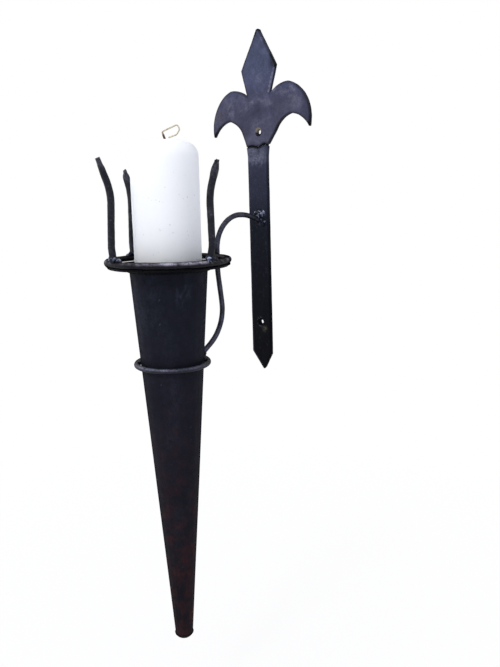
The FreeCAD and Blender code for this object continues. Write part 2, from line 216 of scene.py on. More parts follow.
def capped(rings, wear_and_light):
    """Rings of points closed by a pole at each end: the pole is the middle of the end ring."""
    rows, columns = rings.shape[:2]
    count = rows * columns
    ring = np.arange(columns)
    after = np.roll(ring, -1)
    first = np.stack([after, ring, np.full(columns, count)], axis=-1)
    last = np.stack([ring, after, np.full(columns, count + 1)], axis=-1)
    last[:, :2] += count - columns
    points = np.concatenate([rings.reshape(-1, 3), rings[:1].mean(axis=1), rings[-1:].mean(axis=1)])
    worn = np.concatenate([wear_and_light.ravel(), wear_and_light[:1].mean(axis=1), wear_and_light[-1:].mean(axis=1)])
    return points, [grid_faces(rows, columns), first, last], worn


def along(path, sideways, width, height, sides=24):
    """Points of rings along a flat path, and their outward directions.

    Each point is the path's point plus width cos a sideways plus height sin a times the direction square
    to both the path's heading and sideways.
    """
    heading = np.gradient(path, axis=0)
    heading /= np.linalg.norm(heading, axis=1, keepdims=True)
    lift = np.cross(heading, sideways)
    angle = whole_turn(sides)[None, :, None]
    outward = np.cos(angle) * np.asarray(sideways)[None, None, :] + np.sin(angle) * lift[:, None, :]
    level_part = np.cos(angle) * width[:, None, None] * sideways
    lifted_part = np.sin(angle) * height[:, None, None] * lift[:, None, :]
    return path[:, None, :] + (level_part + lifted_part), outward


def domed(path, radius, start=0.0, end=0.0):
    """The path and its radii run on into rounded ends, of these depths.

    The radius falls as cos t while the path goes on by sin t. t stops a little short of a quarter turn, so
    that the last ring is small but not a point.
    """
    dome_rings, short_of_point = 5, 0.97
    turn = np.linspace(0, np.pi / 2, dome_rings + 1)[1:] * short_of_point
    parts, sizes = [path], [radius]
    if start > 0:
        back = unit(path[0] - path[1])
        parts.insert(0, path[0] + np.sin(turn[::-1])[:, None] * start * back)
        sizes.insert(0, radius[0] * np.cos(turn[::-1]))
    if end > 0:
        ahead = unit(path[-1] - path[-2])
        parts.append(path[-1] + np.sin(turn)[:, None] * end * ahead)
        sizes.append(radius[-1] * np.cos(turn))
    return np.concatenate(parts), np.concatenate(sizes)


def arc_points(a, b, c, step):
    """Points about a step apart on the arc from a through b to c, in the plane, with the last one left out."""
    (ax, ay), (bx, by), (cx, cy) = a, b, c
    twice = 2 * (ax * (by - cy) + bx * (cy - ay) + cx * (ay - by))
    squares = [ax * ax + ay * ay, bx * bx + by * by, cx * cx + cy * cy]
    middle = np.array([squares[0] * (by - cy) + squares[1] * (cy - ay) + squares[2] * (ay - by),
                       squares[0] * (cx - bx) + squares[1] * (ax - cx) + squares[2] * (bx - ax)]) / twice
    start, through, stop = [np.arctan2(*(np.array(p) - middle)[::-1]) for p in (a, b, c)]
    radius = np.hypot(*(np.array(a) - middle))
    forward = (stop - start) % (2 * np.pi)
    turn = forward if (through - start) % (2 * np.pi) < forward else forward - 2 * np.pi
    count = max(int(abs(turn) * radius / step), 2)
    angle = start + turn * np.arange(count) / count
    return middle + radius * np.stack([np.cos(angle), np.sin(angle)], axis=-1)


def line_points(a, b, step):
    """Points about a step apart on the straight run from a to b, with b left out."""
    a, b = np.array(a, float), np.array(b, float)
    count = max(int(np.linalg.norm(b - a) / step), 1)
    return a + (b - a) * (np.arange(count) / count)[:, None]


def rounded_run(corners, radii, step):
    """Straight runs through the corners, each inner corner rounded by a tangent arc of its own radius."""
    runs, start = [], np.array(corners[0], float)
    for before, corner, after, radius in zip(corners, corners[1:], corners[2:], radii):
        before, corner, after = (np.array(p, float) for p in (before, corner, after))
        into = unit(corner - before)
        out = unit(after - corner)
        half_turn = np.arccos(np.clip(into @ out, -1, 1)) / 2
        first = corner - into * radius * np.tan(half_turn)
        last = corner + out * radius * np.tan(half_turn)
        towards = unit(out - into)
        through = corner + towards * radius * (1 / np.cos(half_turn) - 1)
        runs += [line_points(start, first, step), arc_points(first, through, last, step)]
        start = last
    return np.concatenate(runs + [line_points(start, corners[-1], step), [corners[-1]]])


def turned(profile, steps):
    """A profile of (radius, height) points carried round the torch's axis, as rows of points."""
    angle = whole_turn(steps)
    radius, height = profile[:, 0][:, None], profile[:, 1][:, None]
    shape = (len(profile), steps)
    spots = [radius * np.cos(angle), axis_y + radius * np.sin(angle), np.broadcast_to(height, shape)]
    return np.stack(spots, axis=-1), np.broadcast_to(angle, shape)


def out_from_axis(points):
    """The level direction from the torch's axis to each point."""
    level = points - np.array([0, axis_y, 0])
    level[..., 2] = 0
    return level / np.maximum(np.linalg.norm(level, axis=-1, keepdims=True), 1e-6)


# %% [markdown]
# ## Finishes
#
# The iron is blackened, and rubbed bright where hands, hammer and grinder touched it. Each finish is
# one dark iron whose colour wanders at three sizes: broad clouds, hammer-sized mottling and fine specks.
# The finial, the bar and the cone also darken downwards, by colours set at heights; on the bar this is a
# painted sheen of the light above, brightest at its top. Worn places, painted highlights and painted shade
# come from the attribute on the mesh, broken up by noise, and rust from a second noise. The same noises lift
# the surface a little, so that light breaks up as it does on real scale.

# %% A kit for finishes
class Finish:
    """A material under construction: a shader, and short ways to add noise, blends and bumps to it."""

    def __init__(self, name):
        self.material = bpy.data.materials.new(name)
        self.material.use_nodes = True
        self.tree = self.material.node_tree
        self.shader = self.tree.nodes["Principled BSDF"]
        self.place = self.add("ShaderNodeTexCoord").outputs["Object"]

    def add(self, kind, inputs=(), **settings):
        """A node of this kind, with its settings, and its inputs given by name."""
        node = self.tree.nodes.new(kind)
        for key, value in settings.items():
            setattr(node, key, value)
        for key, value in dict(inputs).items():
            self.put(node.inputs[key], value)
        return node

    def put(self, socket, value):
        """A socket's value: linked where it is another node's output, and set where it is plain."""
        if isinstance(value, bpy.types.NodeSocket):
            self.tree.links.new(value, socket)
        else:
            socket.default_value = value

    def noise(self, size_mm, detail=4.0, roughness=0.55):
        """Noise about 0.5, whose largest features are about size_mm across."""
        inputs = {"Vector": self.place, "Scale": 1 / (size_mm * MM), "Detail": detail, "Roughness": roughness}
        return self.add("ShaderNodeTexNoise", inputs).outputs["Fac"]

    def between(self, value, low, high, to_low=0.0, to_high=1.0):
        """The value's range low to high carried over to another range, and held there."""
        inputs = {"Value": value, "From Min": low, "From Max": high, "To Min": to_low, "To Max": to_high}
        return self.add("ShaderNodeMapRange", inputs).outputs["Result"]

    def times(self, a, b):
        """One number times another."""
        node = self.add("ShaderNodeMath", operation="MULTIPLY")
        self.put(node.inputs[0], a)
        self.put(node.inputs[1], b)
        return node.outputs[0]

    def blend(self, share, a, b):
        """Colour a where share is 0 and colour b where it is 1."""
        node = self.add("ShaderNodeMix", data_type="RGBA")
        self.put(node.inputs[0], share)
        self.put(node.inputs[6], a)
        self.put(node.inputs[7], b)
        return node.outputs[2]

    def scaled(self, tone, share):
        """A colour times a number."""
        node = self.add("ShaderNodeVectorMath", operation="SCALE")
        self.put(node.inputs[0], tone if isinstance(tone, bpy.types.NodeSocket) else tone[:3])
        self.put(node.inputs["Scale"], share)
        return node.outputs[0]

    def attribute(self, name):
        """The number that a mesh carries under this name."""
        return self.add("ShaderNodeAttribute", attribute_name=name).outputs["Fac"]

    def by_height(self, stops):
        """Colours blended by height, from (height in millimetres, colour) stops listed from the lowest up."""
        low, high = stops[0][0], stops[-1][0]
        height = self.add("ShaderNodeSeparateXYZ", {"Vector": self.place}).outputs["Z"]
        ramp = self.add("ShaderNodeValToRGB", {"Fac": self.between(height, low * MM, high * MM)})
        for level, _ in stops[1:-1]:
            ramp.color_ramp.elements.new((level - low) / (high - low))
        for element, (_, tone) in zip(ramp.color_ramp.elements, stops):
            element.color = tone
        return ramp.outputs["Color"]

    def gloss(self, level):
        """A gloss that fades where the surface turns away, as it does on a matt black scale."""
        facing = self.add("ShaderNodeLayerWeight", {"Blend": 0.5}).outputs["Facing"]
        return self.times(level, self.between(facing, 0.35, 0.8, 1.0, 0.0))

    def bump(self, layers):
        """Bumps stacked on each other: (height, depth in millimetres) for each layer."""
        normal = None
        for height, depth in layers:
            inputs = {"Height": height, "Distance": depth * MM, "Strength": 1.0}
            if normal:
                inputs["Normal"] = normal
            normal = self.add("ShaderNodeBump", inputs).outputs["Normal"]
        self.put(self.shader.inputs["Normal"], normal)

    def surface(self, colour, roughness, specular):
        """The shader's colour, roughness and gloss level."""
        self.put(self.shader.inputs["Base Color"], colour)
        self.put(self.shader.inputs["Roughness"], roughness)
        self.put(self.shader.inputs["Specular IOR Level"], specular)


def colour(red, green, blue):
    """A shader's colour from the 0 to 255 values that a screen shows: each is undone by the screen's curve."""
    screen = np.array([red, green, blue]) / 255
    linear = np.where(screen <= 0.04045, screen / 12.92, ((screen + 0.055) / 1.055) ** 2.4)
    return (*[float(v) for v in linear], 1.0)


# %% Blackened iron
def blackened_iron(name, plain, worn, rust=0.0, cloud=45, speck=1.2, rough_range=(0.30, 0.44), specular=0.08,
                   shine=0.5, grain=1.0, even=0.0):
    """Iron in a plain colour that wanders darker and lighter. Where the mesh's wear and painted light is positive
    it takes the worn colour, for rubbed metal and painted highlights; where it is negative it goes near black, for
    soot and painted shade.

    plain is a colour, or (height, colour) stops for iron that darkens downwards. rust is the share of red-brown
    stains at the torch's foot, which thin out upwards. even, from 0 to 1, takes the wandering out.
    """
    finish = Finish(name)
    clouds, mottle, specks = finish.noise(cloud, 5, 0.6), finish.noise(7, 5, 0.68), finish.noise(speck, 3, 0.6)
    tone = finish.between(finish.times(clouds, mottle), 0.13, 0.36, 0.70 + 0.3 * even, 1.22 - 0.22 * even)
    grainy = finish.times(tone, finish.between(specks, 0.3, 0.7, 0.80 + 0.2 * even, 1.18 - 0.18 * even))
    base = finish.scaled(finish.by_height(plain) if isinstance(plain, list) else plain, grainy)
    wear_and_light = finish.attribute("wear_and_light")
    speckled = finish.times(specks, finish.between(mottle, 0.3, 0.7, 0.7, 1.3))
    broken = finish.between(speckled, 0.34, 0.62, 0.15, 1.0)
    # Rubbed metal and painted highlights take the worn colour, broken up by specks.
    rubbed_and_highlit = finish.times(finish.between(wear_and_light, 0, 1), broken)
    base = finish.blend(rubbed_and_highlit, base, worn)
    # Soot and painted shade go near black.
    base = finish.blend(finish.between(wear_and_light, 0, -1), base, colour(5, 5, 8))
    # Tan dust, and a painted tan inside the top hole for the lit wall seen through it.
    dust = finish.times(finish.attribute("dust"), finish.between(mottle, 0.3, 0.55, 0.5, 1.0))
    base = finish.blend(dust, base, colour(126, 117, 98))
    if rust:
        height = finish.add("ShaderNodeSeparateXYZ", {"Vector": finish.place}).outputs["Z"]
        growing = finish.between(height, -0.10, -0.40, 0.0, rust)
        stains = finish.times(finish.between(finish.noise(12, 7, 0.74), 0.45, 0.66), growing)
        base = finish.blend(stains, base, colour(70, 34, 30))
    finish.surface(base, finish.between(mottle, 0.3, 0.7, rough_range[1], rough_range[0]), specular=specular)
    shiny = finish.gloss(finish.between(rubbed_and_highlit, 0, 1, specular, shine))
    finish.put(finish.shader.inputs["Specular IOR Level"], shiny)
    finish.shader.inputs["Specular Tint"].default_value = (0.78, 0.82, 1.0, 1.0)
    finish.bump([(mottle, 0.22 * grain), (finish.noise(2.6, 4, 0.6), 0.12 * grain), (specks, 0.06 * grain)])
    return finish.material


finial_finish = blackened_iron(
    "slate_finial", [(96, colour(70, 70, 86)), (118, colour(68, 67, 87)), (140, colour(62, 62, 82)),
                     (165, colour(67, 70, 93)), (190, colour(68, 73, 96)), (216, colour(64, 67, 88))],
    colour(126, 123, 142), speck=1.0, specular=0.08, shine=0.2)
# The bar's colours lighten from its foot to its top: a painted sheen of the light above.
bar_finish = blackened_iron(
    "black_bar", [(-150, colour(15, 15, 19)), (-60, colour(21, 22, 29)), (0, colour(27, 29, 38)),
                  (55, colour(46, 48, 63)), (88, colour(58, 60, 78))],
    colour(104, 104, 122), speck=0.9, specular=0.03, shine=0.2, grain=0.8, even=0.3)
forged_finish = blackened_iron(
    "forged_rod", colour(28, 28, 33), colour(132, 130, 144), cloud=22, specular=0.15)
# Its worn colour is mostly a painted highlight, on the arm's side and the hoop's upper front.
drawn_finish = blackened_iron(
    "drawn_rod", colour(17, 17, 22), colour(112, 113, 136), specular=0.22, shine=0.5, rough_range=(0.32, 0.40),
    grain=0.5, even=0.5)
ring_finish = blackened_iron(
    "pitted_ring", colour(21, 20, 24), colour(182, 176, 192), cloud=20, specular=0.09, shine=0.6, grain=1.6)
sheet_finish = blackened_iron(
    "black_sheet", [(-440, colour(25, 22, 26)), (-140, colour(27, 28, 36))], colour(70, 76, 96), rust=0.40,
    rough_range=(0.40, 0.52), specular=0.025, shine=0.2, grain=0.5, even=0.4)
soot_finish = blackened_iron("sooty_pan", colour(11, 11, 13), colour(40, 40, 46), specular=0.03, shine=0.1)
# Its pale blue worn colour makes the painted glints on weld crests.
weld_finish = blackened_iron(
    "weld_metal", colour(18, 20, 32), colour(186, 196, 226), cloud=12, rough_range=(0.18, 0.32), specular=0.14,
    shine=0.9)
seam_finish = blackened_iron(
    "black_weld", colour(15, 15, 18), colour(74, 76, 90), cloud=14, specular=0.06, shine=0.3)
print("iron finishes:", [material.name for material in bpy.data.materials])

# %% [markdown]
# ## Wax and wick
#
# Paraffin is white and lets light in a little way, so it glows softly at its edges. Its side carries a
# faint mottling and a few dust specks. The wick is waxed cotton: cream, with a burnt brown foot.

# %% Wax and wick finishes
def candle_finish():
    """White wax that lets light in, faintly clouded and specked with dust."""
    finish = Finish("white_wax")
    cloudy = finish.between(finish.noise(30, 3), 0.35, 0.65)
    dust = finish.between(finish.noise(2.4, 2, 0.4), 0.725, 0.75, 0.0, 0.45)
    base = finish.blend(cloudy, colour(248, 248, 251), colour(252, 252, 252))
    base = finish.blend(dust, base, colour(176, 176, 176))
    finish.surface(base, finish.between(cloudy, 0, 1, 0.5, 0.62), specular=0.2)
    finish.shader.inputs["Subsurface Weight"].default_value = 1.0
    finish.shader.inputs["Subsurface Radius"].default_value = (1.0, 1.0, 1.0)
    finish.shader.inputs["Subsurface Scale"].default_value = 0.025
    finish.bump([(finish.noise(14, 3), 0.12), (finish.noise(1.6, 2), 0.02)])
    return finish.material


def wick_cotton():
    """Cream cotton, brown where the mesh says that it is burnt."""
    finish = Finish("waxed_cotton")
    burnt = finish.attribute("wear_and_light")
    strands = finish.noise(1.0, 3, 0.6)
    cream = finish.blend(finish.between(strands, 0.35, 0.65), colour(150, 138, 116), colour(226, 214, 188))
    finish.surface(finish.blend(burnt, cream, colour(70, 38, 20)), 0.6, specular=0.3)
    finish.bump([(strands, 0.12)])
    return finish.material


wax_finish = candle_finish()
wick_finish = wick_cotton()
print("candle finishes:", wax_finish.name, wick_finish.name)


# %% [markdown]
# ## Cut plates
#
# The bar and the finial are flat plate. A plate is a rounded band carried along the outline, closed by a
# front and a back. Those are filled with a lattice of points, joined by a triangulation that keeps
# the outline's and the holes' edges, so the faces can be dented as hammered plate is. One band and two
# skins keep the edge crisp, which a plain extruded outline with a bevel wouldn't.

# %% Plates: outline, edge band, skins and holes
edge_radius, skin_spacing = 0.9, 1.5
sink_radius, sink_depth, hole_sides = 5.0, 1.4, 40


def weld_seams(mesh, distance):
    """Joins points that lie on each other where two surfaces meet, and turns all faces outwards."""
    work = bmesh.new()
    work.from_mesh(mesh)
    bmesh.ops.remove_doubles(work, verts=work.verts, dist=distance * MM)
    bmesh.ops.recalc_face_normals(work, faces=work.faces)
    work.to_mesh(mesh)
    work.free()


def inside(spots, loop):
    """True for each spot that a level ray leaves through an odd number of the loop's sides."""
    a, b = loop, np.roll(loop, -1, axis=0)
    x, z = spots[:, 0][:, None], spots[:, 1][:, None]
    crosses = (a[:, 1] > z) != (b[:, 1] > z)
    rise = np.where(b[:, 1] == a[:, 1], 1e-9, b[:, 1] - a[:, 1])
    return (crosses & (x < (b[:, 0] - a[:, 0]) * (z - a[:, 1]) / rise + a[:, 0])).sum(axis=1) % 2 == 1


def distance_to(spots, loop):
    """The distance from each spot to the nearest side of the loop."""
    a, side = loop, np.roll(loop, -1, axis=0) - loop
    gap = spots[:, None, :] - a
    t = np.clip((gap * side).sum(-1) / np.maximum((side * side).sum(-1), 1e-12), 0, 1)
    return np.linalg.norm(gap - t[..., None] * side, axis=-1).min(axis=1)


def circle_loop(x, z, radius):
    """Points of a screw hole's circle on the plate, as (x, z)."""
    angle = whole_turn(hole_sides)
    return np.stack([x + radius * np.cos(angle), z + radius * np.sin(angle)], axis=-1)


def skin(edge, holes, spacing):
    """Spots and triangles that fill an edge loop around its holes, with a lattice of spots in between."""
    low, high = edge.min(axis=0), edge.max(axis=0)
    lattice = np.stack(np.meshgrid(*[np.arange(l, h, spacing) for l, h in zip(low, high)], indexing="ij"), axis=-1)
    lattice = lattice.reshape(-1, 2)
    lattice[:, 1] += np.where((lattice[:, 0] / spacing).round() % 2 == 0, spacing / 2, 0)
    keep = inside(lattice, edge) & (distance_to(lattice, edge) > 0.6 * spacing)
    for hole in holes:
        keep &= ~inside(lattice, hole) & (distance_to(lattice, hole) > 0.6 * spacing)
    loops = [edge] + list(holes)
    spots = np.concatenate(loops + [lattice[keep]])
    starts = np.cumsum([0] + [len(loop) for loop in loops])
    sides = [(s + i, s + (i + 1) % len(loop)) for s, loop in zip(starts, loops) for i in range(len(loop))]
    found = delaunay_2d_cdt([tuple(p) for p in spots], sides, [], 0, 1e-6)
    spots, triangles = np.array([tuple(p) for p in found[0]]), np.array([t for t in found[2] if len(t) == 3])
    middle = spots[triangles].mean(axis=1)
    keep = inside(middle, edge)
    for hole in holes:
        keep &= ~inside(middle, hole)
    return spots, triangles[keep]


def inset(loop, distance):
    """The loop moved inwards: each point goes along the mean of its two sides' inward directions."""
    side = np.roll(loop, -1, axis=0) - loop
    side /= np.linalg.norm(side, axis=1, keepdims=True)
    normal = np.stack([-side[:, 1], side[:, 0]], axis=-1)
    mean = normal + np.roll(normal, 1, axis=0)
    mean /= np.maximum((mean * mean).sum(axis=1, keepdims=True) / 2, 0.6)
    return loop + mean * distance


def cut_plate(outline, holes, dents, marks):
    """A plate's part from its anticlockwise outline and its holes (x, z, radius).

    dents gives the depth of each spot on the front. marks gives the wear, painted light and dust of each point,
    from its place and its distance from the edge, which is -1 on the plate's side.
    """
    thickness = plate_thickness
    turn = np.linspace(0, np.pi / 2, 5)
    insets = [*(edge_radius * (1 - np.sin(turn))), 0.0, 0.15, 0.45]
    depths = [*(-thickness + edge_radius * (1 - np.cos(turn))), -thickness / 2, -0.25, 0.0]
    band = np.stack([np.insert(inset(outline, i), 1, d, axis=1) for i, d in zip(insets, depths)])
    front_edge, back_edge = band[0][:, [0, 2]], band[-1][:, [0, 2]]
    front, front_faces = skin(front_edge, [circle_loop(x, z, sink_radius) for x, z, _ in holes], skin_spacing)
    back, back_faces = skin(back_edge, [circle_loop(x, z, r) for x, z, r in holes], 3 * skin_spacing)
    edge_gap = distance_to(front, front_edge)
    front_points = np.insert(front, 1, -thickness, axis=1)
    front_points[:, 1] += dents(front) * smooth_step(0.0, 2.0, edge_gap)
    band_points = band.reshape(-1, 3)
    on_side = np.where(band_points[:, 1] > -thickness + 0.7, -1.0, 0.0)
    parts = [(band_points, [grid_faces(len(band), len(outline))], marks(band_points, on_side)),
             (front_points, [front_faces], marks(front_points, edge_gap)),
             (np.insert(back, 1, 0.0, axis=1), [back_faces], np.zeros((len(back), 2)))]
    for x, z, radius in holes:
        depth = [(sink_radius, -thickness), (0.6 * sink_radius + 0.4 * radius, -thickness + 0.35 * sink_depth),
                 (radius, -thickness + sink_depth), (radius, -thickness / 2), (radius, 0.0)]
        sleeve = np.stack([np.insert(circle_loop(x, z, r), 1, y, axis=1) for r, y in depth]).reshape(-1, 3)
        # Inside each hole: painted shade, deepest in its lower part, and in the top hole a painted tan on its upper
        # part for the lit wall seen through it.
        upper = np.clip((sleeve[:, 2] - z) / radius, -1, 1)
        hole_shade_and_light = np.stack([np.where(upper > -0.2, -0.15, -0.95), np.clip(upper + 0.3, 0, 1) * (z > 0)], axis=-1)
        parts.append((sleeve, [grid_faces(len(depth), hole_sides)], hole_shade_and_light))
    return join(*parts)


def wander(loop, amount, size, seed):
    """The loop with each point pushed in or out by smooth random lumps, as a cutting torch wanders."""
    shift = rough(np.insert(loop, 1, 0.0, axis=1), size, seed, 2) * amount
    return inset(loop, shift[:, None])


# %% [markdown]
# ## The finial
#
# The diamond head and its two drooping petals are cut from plate in one piece. The outline is straight
# runs and arcs, the same on both sides but for the neck, which meets the bar a little off centre.
# The hammered face has broad dents, a ground facet at the diamond's right corner, and a soft ridge where
# the petals spring from the head.

# %% The finial's outline and face
seam_z, seam_gap = 95.0, 0.8
neck_width, neck_offset = 34.0, -2.8
hole_height, hole_radius = 111.0, 2.6
diamond_corner = (27.0, 180.5)
outline_step = 1.3


def petal_side(side):
    """One side's outline from the blunt tip down to the neck, as (x, z) points, for side -1 or 1."""
    def at(x, z):
        return (side * x, z)

    joint = (neck_offset + side * neck_width / 2, seam_z + seam_gap / 2)
    neck_mid = (side * 21.2 + neck_offset / 2, 102.5)
    waist, crest, edge, hook = at(17.7, 151.5), at(45.0, 161.0), at(75.6, 111.9), at(73.7, 111.6)
    arch, neck_top = at(49.0, 126.6), at(26.5, 111.0)
    return np.concatenate([
        line_points(at(3.0, 219.2), at(*diamond_corner), outline_step),
        line_points(at(*diamond_corner), waist, outline_step),
        arc_points(waist, at(30.5, 158.6), crest, outline_step),
        arc_points(crest, at(66.6, 147.0), edge, outline_step),
        arc_points(edge, at(74.8, 110.6), hook, 0.5),
        arc_points(hook, at(61.5, 122.8), arch, outline_step),
        arc_points(arch, at(35.5, 121.0), neck_top, outline_step),
        arc_points(neck_top, neck_mid, joint, outline_step),
    ])


def finial_dents(spots):
    """Depth of the finial's face: hammer lumps, the ground corner facet and the ridge above the petals."""
    x, z = spots[:, 0], spots[:, 1]
    level = np.insert(spots, 1, 0.0, axis=1)
    hammered = 0.12 * rough(level, 22, 3, 3) + 0.04 * rough(level, 5, 9, 2)
    facet = np.clip((x - 16.5) * 0.16 - np.abs(z - 184) * 0.03, 0, 1.2) * smooth_step(158, 166, z)
    ridge = 0.2 * np.exp(-((z - 147.5 + 0.012 * x ** 2) / 2.2) ** 2) * smooth_step(34, 18, np.abs(x))
    return np.maximum(0.16 + hammered * 0.6 + facet - ridge, 0)


def crack(x):
    """The joint's height above its straight line: a dip, a rise past the middle, and a fall to the right edge."""
    return np.exp(-((x + 11) / 5) ** 2) - np.exp(-((x + 1.5) / 4.5) ** 2) + 2.1 * np.exp(-((x - 8.5) / 4.5) ** 2)


def crack_width(x):
    """How far the joint gapes at the face: a hair at the left, wide at the right."""
    return 0.35 + 0.55 * np.exp(-((x + 15) / 4) ** 2) + 1.15 * np.exp(-((x - 9) / 6) ** 2)


def spot_at(x, z, middle, spread):
    """1 at the middle and falling away like a bell over the spread, both as (x, z)."""
    return np.exp(-((x - middle[0]) / spread[0]) ** 2 - ((z - middle[1]) / spread[1]) ** 2)


def finial_marks(points, edge_gap):
    """Wear, dust and painted light on the finial: rubbed petals, darker face edges and sooty tips, painted
    highlights along the ridge, by the right corner and on the tip's right edge, and painted shade on the ground
    facet and on the plate's side.
    """
    x, z = points[:, 0], points[:, 2]
    level = points * [1, 0, 1]
    grain = np.clip(rough(level, 6, 33, 4) + 0.25, 0, 1)
    wear_and_light = 0.30 * np.clip(rough(level, 14, 35, 3), 0, 1)
    wear_and_light += (0.75 * spot_at(x, z, (44, 152), (13, 7)) + 0.45 * spot_at(x, z, (-47, 140), (9, 12))) * grain
    # A painted highlight along the ridge above the petals.
    ridge = np.exp(-((z - 146 + 0.014 * x ** 2) / 2.4) ** 2) * smooth_step(26, 12, np.abs(x - 4))
    wear_and_light += 0.40 * ridge * (0.4 + grain)
    wear_and_light += 0.22 * spot_at(x, z, (-6, 118), (7, 10)) + 0.25 * spot_at(x, z, (-3, 101), (16, 3)) * grain
    # Painted shade on the ground facet by the diamond's right corner.
    wear_and_light -= 0.65 * smooth_step(16, 22, x) * np.exp(-((z - 186) / 9) ** 4)
    wear_and_light -= 0.35 * spot_at(x, z, (2, 133), (16, 9))
    on_face = edge_gap >= 0
    wear_and_light -= 0.55 * np.clip(1 - edge_gap / 2.2, 0, 1) ** 2 * on_face
    wear_and_light -= 0.25 * smooth_step(14, 26, np.abs(x)) * smooth_step(136, 112, z)
    # Painted highlights along the face's edge by the right corner, and on the tip's right edge.
    corner_edge_highlight = np.exp(-((edge_gap - 0.7) / 0.8) ** 2) * (x > 15) * (x < 27.5) * (z > 152) * (z < 178) * on_face
    near_tip = (x > 0.5) * smooth_step(206, 209, z) * smooth_step(219, 216, z)
    shine = np.exp(-((edge_gap - 0.8) / 0.9) ** 2) * near_tip * on_face
    wear_and_light += 1.9 * corner_edge_highlight + 1.2 * shine * grain
    wear_and_light -= 1.2 * smooth_step(-0.5, -2.5, x) * smooth_step(214, 218, z) + 0.9 * smooth_step(218.5, 220, z)
    # The petals' hooks are darker, and the plate's side is in painted shade.
    wear_and_light -= 0.9 * smooth_step(116, 112, z) * (np.abs(x) > 60) + 0.8 * (edge_gap < 0)
    dust = 0.14 * np.clip(rough(level, 17, 39, 3), 0, 1) * smooth_step(18, 36, np.abs(x))
    return np.stack([np.clip(wear_and_light, -1, 1), dust], axis=-1)


right_side, left_side = petal_side(1), petal_side(-1)
tip_arc = arc_points((3.0, 219.2), (0.0, 221.8), (-3.0, 219.2), 0.8)
seam_run = line_points((neck_offset - neck_width / 2, seam_z + seam_gap / 2),
                       (neck_offset + neck_width / 2, seam_z + seam_gap / 2), 0.8)
seam_run[1:, 1] += (crack(seam_run[:, 0]) + crack_width(seam_run[:, 0]) / 2)[1:]
finial_loop = np.concatenate([tip_arc, left_side, seam_run, right_side[::-1][:-1]])
finial_loop = wander(finial_loop, 0.22, 9, 5)
finial_low, finial_high = low_high("finial_plate")
finial_loop = np.clip(finial_loop, finial_low[[0, 2]], finial_high[[0, 2]])
finial_part = cut_plate(finial_loop, [(0.0, hole_height, hole_radius)], finial_dents, finial_marks)
finial = piece("finial_plate_skin", finial_part, "sconce", ["finial_plate"], merge=0.01)
finial.data.materials.append(finial_finish)

# %% [markdown]
# ## The wall bar
#
# Flat stock, sheared to a blunt point by hand at its foot. Its edges are straighter than the finial's,
# and its face is flat but for rolling marks and the pits under the lower screw hole.

# %% The bar's outline and face
bar_width, taper_z, shoulder_z = 31.0, 84.0, -149.0
foot_offset, foot_x, foot_z, foot_blunt = 0.4, 3.2, -169.5, 2.5


def bar_edge(z, side):
    """A point on the bar's edge; its middle line runs straight from the neck to the foot's shoulders."""
    share = (seam_z - z) / (seam_z - shoulder_z)
    return (neck_offset + (foot_offset - neck_offset) * share + side * bar_width / 2, z)


def bar_dents(spots):
    """Depth of the bar's face: long rolling marks and a patch of small pits below the lower hole."""
    level = np.insert(spots, 1, 0.0, axis=1)
    rolled = 0.08 * rough(level * [1.0, 1.0, 0.3], 12, 21, 3)
    pits = 0.45 * np.clip(lumps(level, 3.0, 4) - 0.35, 0, None) * np.exp(-((spots[:, 1] + 121) / 9) ** 2)
    return np.abs(rolled) + pits


def bar_marks(points, edge_gap):
    """Wear, dust and painted light on the bar: the band rubbed while the seam was dressed, a painted highlight
    along the lower left edge and on the lower hole's rim, painted shade on the side and the right edge, and tan
    dust below the hole.
    """
    x, z = points[:, 0], points[:, 2]
    level = points * [1, 0, 1]
    ragged = 76 + 3.5 * lumps(points * [1, 0, 0], 3.5, 43) + 2.5 * lumps(level, 1.7, 44)
    band = smooth_step(-3, 3, z - ragged) * (0.55 + 0.45 * rough(level, 5, 45, 4))
    wear_and_light = band * (1 - 0.35 * smooth_step(4, 13, x)) + 0.3 * np.clip(lumps(level, 2.4, 46) - 0.6, 0, 1)
    # A painted highlight along the lower bar's left edge.
    wear_and_light += 0.45 * np.exp(-((edge_gap - 0.5) / 0.7) ** 2) * smooth_step(20, -90, z) * (x < 0)
    # A painted highlight on the left of the lower hole's countersunk rim.
    far = np.hypot(x, z + hole_height)
    wear_and_light += 0.9 * np.exp(-((far - 5.3) / 0.7) ** 2) * smooth_step(-4, 4, -x) * (edge_gap > 0)
    # Painted shade on the plate's side and along the face's right edge.
    wear_and_light -= 0.6 * (edge_gap < 0) + 0.4 * np.clip(1 - edge_gap / 1.2, 0, 1) * (x > 0) * (edge_gap >= 0)
    dust = 0.5 * spot_at(x, z, (5.5, -119), (3.5, 3.2)) * (0.6 + 0.8 * lumps(level, 2.2, 47))
    return np.stack([np.clip(wear_and_light, -1, 1), np.clip(dust, 0, 1)], axis=-1)


top_z = seam_z - seam_gap / 2
bar_corners = [
    (neck_offset + neck_width / 2, top_z), (neck_offset - neck_width / 2, top_z), bar_edge(taper_z, -1),
    bar_edge(shoulder_z, -1), (foot_x - foot_blunt, foot_z + foot_blunt), (foot_x, foot_z),
    (foot_x + foot_blunt, foot_z + foot_blunt), bar_edge(shoulder_z, 1), bar_edge(taper_z, 1),
]
bar_sides = [line_points(a, b, outline_step) for a, b in zip(bar_corners, bar_corners[1:] + bar_corners[:1])]
bar_sides[0] = line_points(bar_corners[0], bar_corners[1], 0.8)
bar_sides[0][1:, 1] += (crack(bar_sides[0][:, 0]) - crack_width(bar_sides[0][:, 0]) / 2)[1:]
bar_loop = wander(np.concatenate(bar_sides), 0.12, 14, 8)
bar_part = cut_plate(bar_loop, [(0.0, -hole_height, hole_radius)], bar_dents, bar_marks)
bar = piece("wall_bar_skin", bar_part, "sconce", ["wall_bar"], merge=0.01)
bar.data.materials.append(bar_finish)

